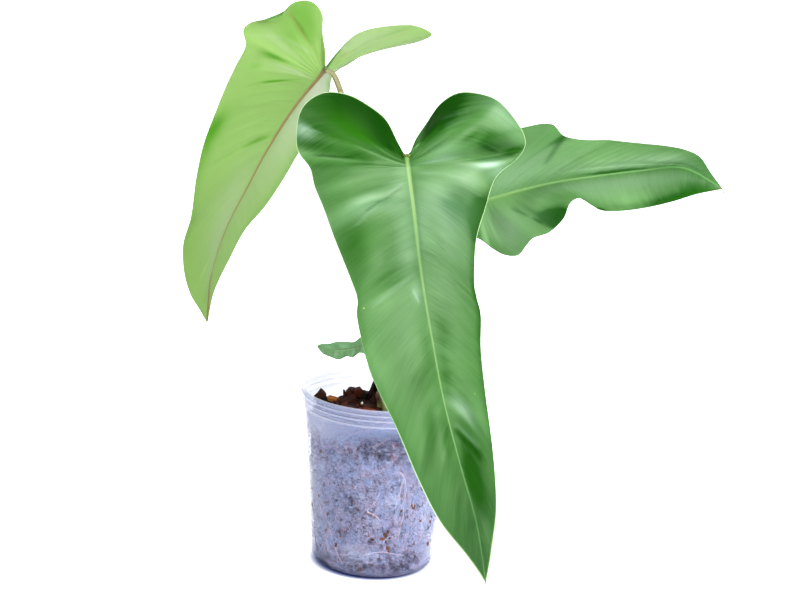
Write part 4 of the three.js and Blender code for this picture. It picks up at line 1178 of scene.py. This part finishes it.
RIGHT_LEAF = {
    "midrib_height": 1.4, "bulge": 0.04, "quilt": 0.03, "slants": (0.2, 0.2),
    "midrib": [
        [52, 20, 242], [78, 17, 252], [104, 12, 261], [131, 6, 268],
        [157, -1, 274], [183, -10, 279], [207, -20, 269],
    ],
    "ribs": [
        [0, [51.5, 19, 240.5], [51.5, 20.5, 243.5]],
        [0.8, [47, 16, 238.5], [47, 22, 249.5]],
        [1.6, [43, 12, 234], [44, 25, 259.5]],
        [2.4, [45, 8, 228], [47, 26, 271]],
        [3.2, [51.5, 5, 224.5], [53.5, 26, 280]],
        [4, [58.5, 2, 223], [61.5, 26, 287]],
        [5, [66.5, 0, 218], [72.5, 26, 292]],
        [6.5, [74.5, -4, 215], [83, 26, 294.5]],
        [8.5, [83, -7, 216], [94, 25, 297.5]],
        [11, [88, -8, 223], [102, 23, 297.5]],
        [15, [92, -9, 228], [108.5, 21, 291.5]],
        [21, [102, -8, 232.5], [116, 18, 290]],
        [30, [109.5, -7, 242.5], [126, 16, 290]],
        [42, [114, -3, 251.5], [137, 14, 291]],
        [56, [121.5, -5, 255], [148, 10, 291]],
        [72, [132.5, -12, 249.5], [160, 6, 291]],
        [90, [145.5, -17, 250.5], [172, 2, 291]],
        [110, [161.5, -21, 254.5], [184, -3, 290]],
        [130, [176.5, -23, 259.5], [193.5, -8, 286.5]],
        [150, [191, -23, 265], [200, -14, 278]],
        [168, [207, -20, 268.6], [207, -20, 269.4]],
    ],
    "dents": [
        [-1, 12.1, 0.85, -3, 0.8, 0.3], [-1, 10, 0.6, 2, 1.5, 0.35], [1, 16.2, 0.3, 1.6, 1.8, 0.14],
        [-1, 16, 0.4, 1.5, 2.5, 0.3],
    ],
    "curls": [],
    "lined": [],
    "tones_and_light": [
        [-1, 11.95, 0.93, -2.4, 0.5, 0.18], [1, 10.2, 0.98, -0.5, 0.3, 0.1],
        [1, 16.1, 0.13, -0.7, 1.0, 0.07], [1, 8.6, 0.85, -0.1, 1.5, 0.25], [-1, 7.8, 0.4, 0.75, 2.2, 0.4],
        [-1, 10.3, 0.35, 0.3, 1.2, 0.3], [-1, 10.8, 0.12, 0.45, 1.6, 0.2], [-1, 17.4, 0.16, 0.15, 0.8, 0.2],
        [-1, 19.2, 0.6, -0.3, 0.8, 0.35], [-1, 15.1, 1.0, -1.2, 0.18, 0.06],
        [-1, 11.7, 0.6, -0.3, 0.2, 0.2], [-1, 18, 0.95, -0.4, 2.4, 0.14], [1, 18.6, 0.55, -0.1, 1.0, 0.3],
        [-1, 16.6, 0.8, 0.3, 0.8, 0.2],
    ],
    "blooms_and_highlights": [
        [1, 15.8, 0.36, 0.45, 1.6, 0.16], [-1, 17, 0.35, 0.4, 2.5, 0.25], [-1, 9.0, 0.55, 0.6, 2.4, 0.4],
        [1, 10.5, 0.4, 0.5, 3.0, 0.4], [1, 17.4, 0.6, 0.4, 1.4, 0.25], [-1, 14.5, 0.3, 0.3, 2, 0.3],
    ],
    "lobe_ribs": [[-1, 1.6, 0.1, 6.0, 0.8, 0.25, 0.8]],
    "specks": [],
    "creases": [
        [-1, 10.85, 0.33, 11.3, 0.62, -0.6, 1.2], [-1, 11.3, 0.62, 11.3, 0.82, -0.6, 1.2],
        [1, 10.2, 0.96, 11.9, 0.55, -0.7, 1.4], [-1, 9.4, 0.4, 9.2, 0.75, 0.3, 1.4],
    ],
}

SMALL_LEAF = {
    "midrib_height": 0.5, "bulge": 0.04, "quilt": 0.1, "slants": (0.0, 0.0),
    "midrib": [[-12, 0, 148], [-20, -1, 146], [-28, -3, 145], [-36, -3, 145], [-44, -3, 147]],
    "ribs": [
        [0, [-11.5, -1.2, 147.5], [-11.5, 1, 149]],
        [1, [-10, -5, 146], [-10, 4, 151]],
        [2, [-12, -9, 145], [-11.5, 6, 153]],
        [4, [-16, -11, 146], [-16, 6, 152]],
        [7, [-20, -12, 143], [-20, 5, 149]],
        [11, [-24, -10.5, 143], [-25, 4, 149]],
        [16, [-29, -12, 141], [-31, 3, 149]],
        [21, [-34, -11, 142], [-36, 1, 148]],
        [27, [-40, -8, 143.5], [-41, -1, 148]],
        [33, [-44, -3.3, 146.8], [-44, -2.7, 147.2]],
    ],
    "dents": [],
    "curls": [],
    "lined": [],
    "tones_and_light": [[1, 7, 0.5, -0.2, 0.8, 0.3], [-1, 5, 0.6, -0.1, 0.8, 0.3]],
    "blooms_and_highlights": [
        [1, 5.6, 0.4, 0.5, 0.4, 0.3], [-1, 4.2, 0.6, 0.4, 0.5, 0.3], [1, 7.6, 0.4, 0.4, 0.4, 0.3],
        [-1, 6.6, 0.5, 0.4, 0.4, 0.3],
    ],
    "lobe_ribs": [],
    "specks": [],
    "creases": [[1, 4.6, 0.1, 4.4, 0.8, -0.5, 0.6], [1, 6.6, 0.1, 6.5, 0.8, -0.5, 0.6]],
}

# Where the points lie along a rib, as shares: closer together near the midrib, with three at the rim.
RIM_POINTS = (0.985, 0.995, 1.0)
across = np.concatenate([np.linspace(0, 1, 34)[:-1] ** 1.5 * RIM_POINTS[0], RIM_POINTS])


def bells(marks, side, rib, reach):
    """The sum of the bells of one half's marks, at each rib number and share of its length."""
    total = np.zeros(np.broadcast(rib, reach).shape)
    for mark_side, mark_rib, share, amount, rib_spread, spread in marks:
        if mark_side == side:
            away = ((rib - mark_rib) / rib_spread) ** 2 + ((reach - share) / spread) ** 2
            total = total + amount * np.exp(-away)
    return total


def half_blade(leaf, side, edge, foot, along, rib, vein):
    """One half of the blade's middle surface, and how far each point is from the midrib. A rib goes from its
    foot towards its edge point by v from 0 to 1: sideways by v, forward by sweep times v plus the rest
    times v squared. It rises by the bulge, a parabola, by the dents and, between two side veins, by the
    quilting, a cosine. Its outer strip bends by the curls."""
    span = edge - foot
    forward = (span * along).sum(1, keepdims=True)
    lateral = span - forward * along
    width = np.linalg.norm(lateral, axis=1, keepdims=True)
    upper = unit(np.cross(along, side * lateral))
    v = across[None, :]
    rise = leaf["bulge"] * width * 4 * v * (1 - v)
    rise = rise + bells(leaf["dents"], side, rib[:, None], v) * np.minimum(v / DENT_START, 1)
    puff = -np.cos(2 * np.pi * vein)[:, None]
    rise = rise + leaf["quilt"] * puff * np.clip(v / QUILT_START, 0, 1) * np.clip((1 - v) / QUILT_END, 0, 1)
    v3 = v[..., None]
    sweep = RIB_SWEEP * v3 + (1 - RIB_SWEEP) * v3 ** 2
    points = foot[:, None] + lateral[:, None] * v3 + (along * forward)[:, None] * sweep
    points = points + upper[:, None] * rise[..., None]
    for curl_side, *curl in leaf["curls"]:
        if curl_side == side:
            points = curled(points, upper, rib, *curl)
    return points, v * width


def curled(points, upper, rib, curl_rib, spread, angle, strip):
    """Bends the outer strip of each rib into an arc. Along the strip's own length a of A the direction
    turns by the angle times a/A, towards the lower side for a positive angle. The angle is a bell over the
    ribs, and where it is less than FULL_CURL the strip goes over to its old form."""
    fold = angle * np.exp(-((rib - curl_rib) / spread) ** 2)
    start = int(np.searchsorted(across, 1 - strip))
    base = points[:, start]
    reach = np.linalg.norm(points[:, start:] - base[:, None], axis=2)
    total = np.maximum(reach[:, -1:], 1e-9)
    out = unit(points[:, start + 1] - base)
    down = -unit(upper - (upper * out).sum(1, keepdims=True) * out)
    bend = np.where(np.abs(fold) < NO_CURL, NO_CURL, fold)[:, None]
    turn = bend * reach / total
    bent = (base[:, None] + out[:, None] * (np.sin(turn) / bend * total)[..., None]
            + down[:, None] * ((1 - np.cos(turn)) / bend * total)[..., None])
    share = np.clip(np.abs(fold) / FULL_CURL, 0, 1)[:, None, None]
    points = points.copy()
    points[:, start:] = points[:, start:] * (1 - share) + bent * share
    return points


def crease_lines(creases, middle, rib):
    """Fine lines that run straight over the surface from one rib and reach to another. Each is a bell
    across, as high as its strength, that fades towards its two ends by the root of a half wave."""
    half = middle.shape[1] // 2
    total = np.zeros(middle.shape[:2])
    for side, from_rib, from_reach, to_rib, to_reach, strength, width in creases:
        rows = np.searchsorted(rib, [from_rib, to_rib])
        columns = half + side * np.searchsorted(across, [from_reach, to_reach])
        start, end = middle[rows, columns]
        line = end - start
        share = np.clip((middle - start) @ line / (line @ line), 0, 1)
        away = np.linalg.norm(middle - start - share[..., None] * line, axis=2)
        total += strength * np.exp(-(away / width) ** 2) * np.sqrt(np.sin(np.pi * share).clip(0, 1))
    return total


def whole(left, right):
    """The rows of the two halves joined, from the left edge over the midrib to the right edge."""
    return np.concatenate([left[:, :0:-1], right], 1)


def marked(marks, rib):
    """The bells of both halves' marks over the whole blade."""
    left, right = (bells(marks, side, rib[:, None], across[None]) for side in (-1, 1))
    return whole(left, right)


def blade_faces(rows, columns):
    """The faces of the upper sheet of rows by columns points, of the lower sheet, whose points follow, and
    of the band that joins the two round the edge."""
    grid = np.arange(rows * columns).reshape(rows, columns)
    a, b, c, d = grid[:-1, :-1], grid[:-1, 1:], grid[1:, 1:], grid[1:, :-1]
    upper_faces = np.stack([a, d, c, b], -1).reshape(-1, 4)
    lower_faces = np.stack([a, b, c, d], -1).reshape(-1, 4) + grid.size
    border = np.concatenate([grid[0, :-1], grid[:-1, -1], grid[-1, :0:-1], grid[:0:-1, 0]])
    following = np.roll(border, -1)
    band = np.stack([border, following, following + grid.size, border + grid.size], -1)
    return np.concatenate([upper_faces, lower_faces, band])


def streaks(slants, place, rib, vein, spine, reach, side):
    """Two numbers for the streaks of the skin: grain counts them across and flow runs along them. They run
    along the ribs, slanted forward, and in the lobes they go over to arcs round the sinus."""
    lobe = np.clip((LOBE_END - place) / LOBE_FADE, 0, 1)
    lobe = (lobe ** 2 * (3 - 2 * lobe))[:, None]
    turn_row = np.searchsorted(place, LOBE_END - LOBE_FADE / 2)
    rib_away = (rib - rib[turn_row])[:, None]
    arcs = vein[turn_row] - spine / VEIN_SPACING + LOBE_DRIFT * rib_away
    slant = np.where(side < 0, *slants)
    slanted = vein[:, None] - slant * spine * (1 - SLANT_EASE * reach) / VEIN_SPACING
    grain = slanted * (1 - lobe) + arcs * lobe
    flow = reach * (1 - lobe) + LOBE_FLOW * rib_away * lobe
    return grain, flow


def blade_mesh(leaf):
    """The whole blade: its middle surface from the left edge over the midrib to the right edge, moved up
    and down along its normals for the two faces. The lower face has the midrib as a bell of its height
    across, and side veins as low ridges. Returns the points, the faces and the numbers that tell the skin
    where its midrib, rim, streaks and marks are."""
    ribs = np.array([[foot, *left, *right] for foot, left, right in leaf["ribs"]], float)
    fine = np.linspace(0, 1, 2001)
    fine_vein = fine * (len(ribs) - 1) + smooth_rows(ribs, fine)[:, 0] / VEIN_SPACING
    rows = int(fine_vein[-1] * ROWS_PER_VEIN)
    vein = np.linspace(0, fine_vein[-1], rows)
    share = np.interp(vein, fine_vein, fine)
    rib = share * (len(ribs) - 1)
    rib_rows = smooth_rows(ribs, share)
    place = rib_rows[:, 0] / ribs[-1, 0]
    foot = smooth_rows(leaf["midrib"], place)
    along = heading(leaf["midrib"], place, 0.002)
    left, left_spine = half_blade(leaf, -1, rib_rows[:, 1:4], foot, along, rib, vein)
    right, right_spine = half_blade(leaf, 1, rib_rows[:, 4:7], foot, along, rib, vein)
    middle = whole(left, right)
    spine = whole(left_spine, right_spine)
    rim = whole(left_spine[:, -1:] - left_spine, right_spine[:, -1:] - right_spine)
    reach = whole(across[None], across[None])
    side = np.sign(np.arange(reach.size) - len(across) + 1.0)[None]
    normal = unit(np.cross(np.gradient(middle, axis=0), np.gradient(middle, axis=1)))
    half = RIM_HALF + (BLADE_HALF - RIM_HALF) * np.clip(rim / RIM_BAND, 0, 1)
    taper = 1 - place[:, None]
    rib_height = leaf["midrib_height"] * (0.25 + 0.75 * taper)
    rib_half = MIDRIB_HALF * (leaf["midrib_height"] / MIDRIB_FULL) ** 0.5 * (0.2 + 0.8 * taper)
    ridge = rib_height * np.exp(-(spine / rib_half) ** 2)
    near_vein = np.abs(vein - np.round(vein))[:, None] / VEIN_HALF
    veins = VEIN_RIDGE * np.exp(-near_vein ** 2) * (1 - reach) * np.clip(reach / VEIN_START, 0, 1)
    top = middle + normal * (half + MIDRIB_ABOVE * ridge / leaf["midrib_height"])[..., None]
    low = middle - normal * (half + ridge + veins)[..., None]
    grain, flow = streaks(leaf["slants"], place, rib, vein, spine, reach, side)
    sheet_numbers = {
        "spine": spine, "rim": rim, "length": place[:, None], "side": side, "grain": grain, "flow": flow,
        "tone": marked(leaf["tones_and_light"], rib),
        "bloom_and_highlight": marked(leaf["blooms_and_highlights"], rib),
        "lined": marked(leaf["lined"], rib),
        "crease_and_shading": crease_lines(leaf["creases"], middle, rib),
        "lobe_rib": crease_lines(leaf["lobe_ribs"], middle, rib),
    }
    numbers = {
        name: np.tile(np.broadcast_to(values, spine.shape).ravel(), 2)
        for name, values in sheet_numbers.items()
    }
    numbers["upper"] = np.repeat([1.0, 0.0], spine.size)
    points = np.concatenate([top.reshape(-1, 3), low.reshape(-1, 3)])
    return points, blade_faces(*spine.shape), numbers


# A deeper, saturated green, painted as shade where no sheen falls.
SHADED_GREEN = paint(34, 84, 2)
PALE_RIM = paint(180, 200, 160)


def blade_finish(name, specks, deep, bright, bloom_and_highlight, rib_pale, rib_end, under, under_deep, under_bloom_and_highlight,
                 under_rib, glow, rib_half, streaky, outlined):
    """Leathery leaf skin. Above: green that goes from deep to bright in broad patches and in fine streaks
    along the side veins, with folds, waxy bloom, a midrib and specks, and with painted light and shade: the
    tones paint light and shade, the bloom and light folds paint highlights, dark folds and the way towards
    the tip paint shade, and a deeper green is painted where no sheen falls. outlined is how much of a pale
    rim and of painted shade in the grooves beside the midrib it has. Below: lighter and matt, with the same
    painted light and shade. Some light shines through."""
    look = Finish(name)
    where = look.place()
    grain, flow, side = look.number("grain"), look.number("flow"), look.number("side")
    spine, rim, length = look.number("spine"), look.number("rim"), look.number("length")
    tone, waxy_and_highlight, crease_and_shading = look.number("tone"), look.number("bloom_and_highlight"), look.number("crease_and_shading")
    upper, lobe_rib, lined = look.number("upper"), look.number("lobe_rib"), 1 + look.number("lined")
    streak = look.mottle(look.point(flow * side * 1.1, grain * 12.0, side * 5.0), 1.0, 5.0, 0.7)
    fine_streak = look.mottle(look.point(flow * side * 3.0, grain * 34.0, side * 9.0), 1.0, 2.0, 0.5)
    bands = look.mottle(look.point(flow * side * 1.1, grain * 2.2, side * 3.0), 1.0, 2.0, 0.5)
    broad = look.mottle(where, 22.0, 2.0, 0.5)
    pores = look.mottle(where, 1400.0, 2.0, 0.5)
    wax_and_highlight = waxy_and_highlight * (0.4 + 1.2 * streak)
    fold_highlight = crease_and_shading.within(0.0, 1.0)
    fold_shade = (0 - crease_and_shading).within(0.0, 1.0)
    grained = (streak - 0.5) * 1.3 + (fine_streak - 0.5) * 1.1 * lined + (bands - 0.5) * 0.7
    grained = grained * lined.within(0.2, 1.0) * streaky

    # The upper side: the green with painted light and shade, the wax with its painted highlight, and a deeper
    # green painted as shade where less sheen falls.
    # Painted light and shade in the green: the tones, a shade towards the tip and the dark folds.
    light = 0.5 + (broad - 0.5) * 0.6 + grained + tone - 0.35 * length.ramp(0.5, 0.9) - fold_shade * 0.8
    skin = look.blend(deep, bright, light.within(0.0, 1.0))
    skin = look.blend(skin, bloom_and_highlight, (wax_and_highlight + fold_highlight * 0.5).within(0.0, 0.85))
    skin = look.blend(skin, SHADED_GREEN, ((0 - waxy_and_highlight) * 1.4).within(0.0, 0.8))

    # Its midrib, which narrows and fades towards the tip, with painted shade in a groove on each side,
    # darker on the right, its rim and specks.
    rib_width = rib_half * (0.45 + 0.55 * (1 - length.ramp(0.0, 0.6)))
    off_rib = spine / rib_width
    rib_line = off_rib.ramp(1.35, 0.45) * (1 - 0.4 * length.ramp(0.62, 0.85))
    rib_line = rib_line * (1 - 0.5 * outlined * length.ramp(0.08, 0.2) * (1 - length.ramp(0.4, 0.6)))
    groove = off_rib.ramp(0.9, 1.5) * off_rib.ramp(3.2, 1.8) * (1 - length.ramp(0.2, 0.9)) * outlined
    skin = look.blend(skin, deep, groove * (0.22 + side * 0.12))
    rib_colour = look.blend(rib_pale, rib_end, length.ramp(0.05, 0.9))
    rib_share = (rib_line * (0.6 + 0.4 * broad) + lobe_rib).within(0.0, 1.0)
    skin = look.blend(skin, rib_colour, rib_share)
    rim_share = (1 - length.ramp(0.1, 0.35) * 0.75 + length.ramp(0.4, 0.55) * 0.6) * outlined
    skin = look.blend(skin, PALE_RIM, rim.ramp(0.45, 0.1) * rim_share)
    for spot, size, speck_colour in specks:
        away = look.distance(where, tuple(value * MM for value in spot))
        skin = look.blend(skin, paint(*speck_colour), away.ramp(size * MM, size * MM * 0.5))

    # The underside with the tones' painted light and shade, painted shade in dark folds and painted
    # highlights of the wax and light folds, and the two sides together.
    depth = ((streak - 0.5) * 0.5 + (broad - 0.5) * 0.6 - tone + fold_shade * 0.7).within(0.0, 1.0)
    below = look.blend(under, under_deep, depth)
    below = look.blend(below, under_bloom_and_highlight, (wax_and_highlight + fold_highlight * 0.4).within(0.0, 0.9))
    under_line = (spine / (rib_width * 1.15)).ramp(1.3, 0.6) + lobe_rib
    below = look.blend(below, under_rib, (under_line * (0.65 + 0.5 * streak)).within(0.0, 1.0))
    relief = streak * 0.4 + fine_streak * 0.25 + pores * 0.3 + crease_and_shading * 1.5
    sheen = (0.41 + tone + 0.7 * waxy_and_highlight + grained * 0.3 - fold_shade * 0.4).within(0.0, 1.0)
    shader = look.principled(
        Base_Color=look.blend(below, skin, upper), Roughness=0.6 - 0.1 * upper, IOR=1.4,
        Specular_IOR_Level=0.3, Specular_Tint=(0.45, 1.0, 0.25, 1.0),
        Coat_Weight=sheen * (0.25 + 0.75 * upper), Coat_Roughness=0.4, Coat_IOR=1.5,
        Normal=look.bump(relief, 0.00035, 0.7),
    )
    through = look.add("ShaderNodeBsdfTranslucent", None, {"Color": glow})
    return look.surface(look.add("ShaderNodeMixShader", None, {0: 0.32, 1: shader, 2: through}))


# Each blade's table, its slot, and its finish: colours, the midrib's painted half width in millimetres, the
# strength of the streaks, and how much it is outlined.
GREEN_UNDERSIDE = {
    "under": paint(70, 104, 50), "under_deep": paint(50, 84, 30),
    "under_bloom_and_highlight": paint(110, 140, 100), "under_rib": paint(110, 104, 62),
}
BLADES = {
    "front": (FRONT_LEAF, "blade", {
        "deep": paint(8, 48, 1), "bright": paint(62, 101, 50), "bloom_and_highlight": paint(118, 143, 126),
        "rib_pale": paint(108, 134, 78), "rib_end": paint(76, 110, 66), **GREEN_UNDERSIDE,
        "glow": paint(60, 130, 10), "rib_half": 1.25, "streaky": 0.5, "outlined": 0.8,
    }),
    "left": (LEFT_LEAF, "blade_pale", {
        "deep": paint(20, 70, 8), "bright": paint(80, 118, 50), "bloom_and_highlight": paint(120, 150, 110),
        "rib_pale": paint(120, 146, 90), "rib_end": paint(80, 110, 50),
        "under": paint(105, 130, 76), "under_deep": paint(50, 104, 8),
        "under_bloom_and_highlight": paint(134, 138, 124), "under_rib": paint(112, 76, 66),
        "glow": paint(150, 186, 84), "rib_half": 1.15, "streaky": 0.6, "outlined": 0.0,
    }),
    "right": (RIGHT_LEAF, "blade", {
        "deep": paint(14, 58, 8), "bright": paint(97, 136, 84), "bloom_and_highlight": paint(116, 142, 114),
        "rib_pale": paint(118, 150, 96), "rib_end": paint(94, 134, 82), **GREEN_UNDERSIDE,
        "glow": paint(90, 150, 30), "rib_half": 1.6, "streaky": 0.45, "outlined": 0.0,
    }),
    "small": (SMALL_LEAF, "blade_dark", {
        "deep": paint(68, 110, 76), "bright": paint(168, 192, 160), "bloom_and_highlight": paint(150, 184, 150),
        "rib_pale": paint(140, 170, 116), "rib_end": paint(100, 130, 80),
        "under": paint(101, 136, 100), "under_deep": paint(80, 114, 74),
        "under_bloom_and_highlight": paint(128, 156, 128), "under_rib": paint(96, 106, 74),
        "glow": paint(60, 120, 40), "rib_half": 0.5, "streaky": 0.6, "outlined": 0.0,
    }),
}
for which, (leaf, slot, finish) in BLADES.items():
    points, faces, numbers = blade_mesh(leaf)
    skin = blade_finish(f"{which}_leaf_skin", leaf["specks"], **finish)
    piece = make_piece(f"{which}_leaf", points * MM, faces, skin, numbers)
    belongs(piece, slot, f"blade_{which}")


# The dry tips. The two large dark leaves end in a thin brown thread, where the midrib runs out past the blade
# and has withered. Each thread starts inside its blade's tip and curls down. Its path and radius are listed.

DRY_TIPS = {
    "front": ([[66.2, -151.4, 53], [67, -151.9, 50], [66.9, -152, 48], [65.6, -151.6, 46.4]], 0.5),
    "right": ([[204.5, -19.3, 269.8], [207, -20, 268.9], [209.4, -20.6, 264], [211, -20.8, 257.4]], 0.4),
}
tip_finish = Finish("dry_tip_skin")
tip_shade = tip_finish.mottle(tip_finish.place(), 900.0).ramp(0.35, 0.65)
tip_paint = tip_finish.principled(
    Base_Color=tip_finish.blend(paint(112, 84, 70), paint(66, 50, 38), tip_shade), Roughness=0.7
)
tip_material = tip_finish.surface(tip_paint)
for which, (path, radius) in DRY_TIPS.items():
    points, faces, _ = stalk(path, lambda share: radius * (1 - 0.6 * share), (1, 0, 0.2), sides=8, rings=24)
    tip = make_piece(f"{which}_dry_tip", points * MM, faces, tip_material)
    close_up(tip)
    belongs(tip, "blade")
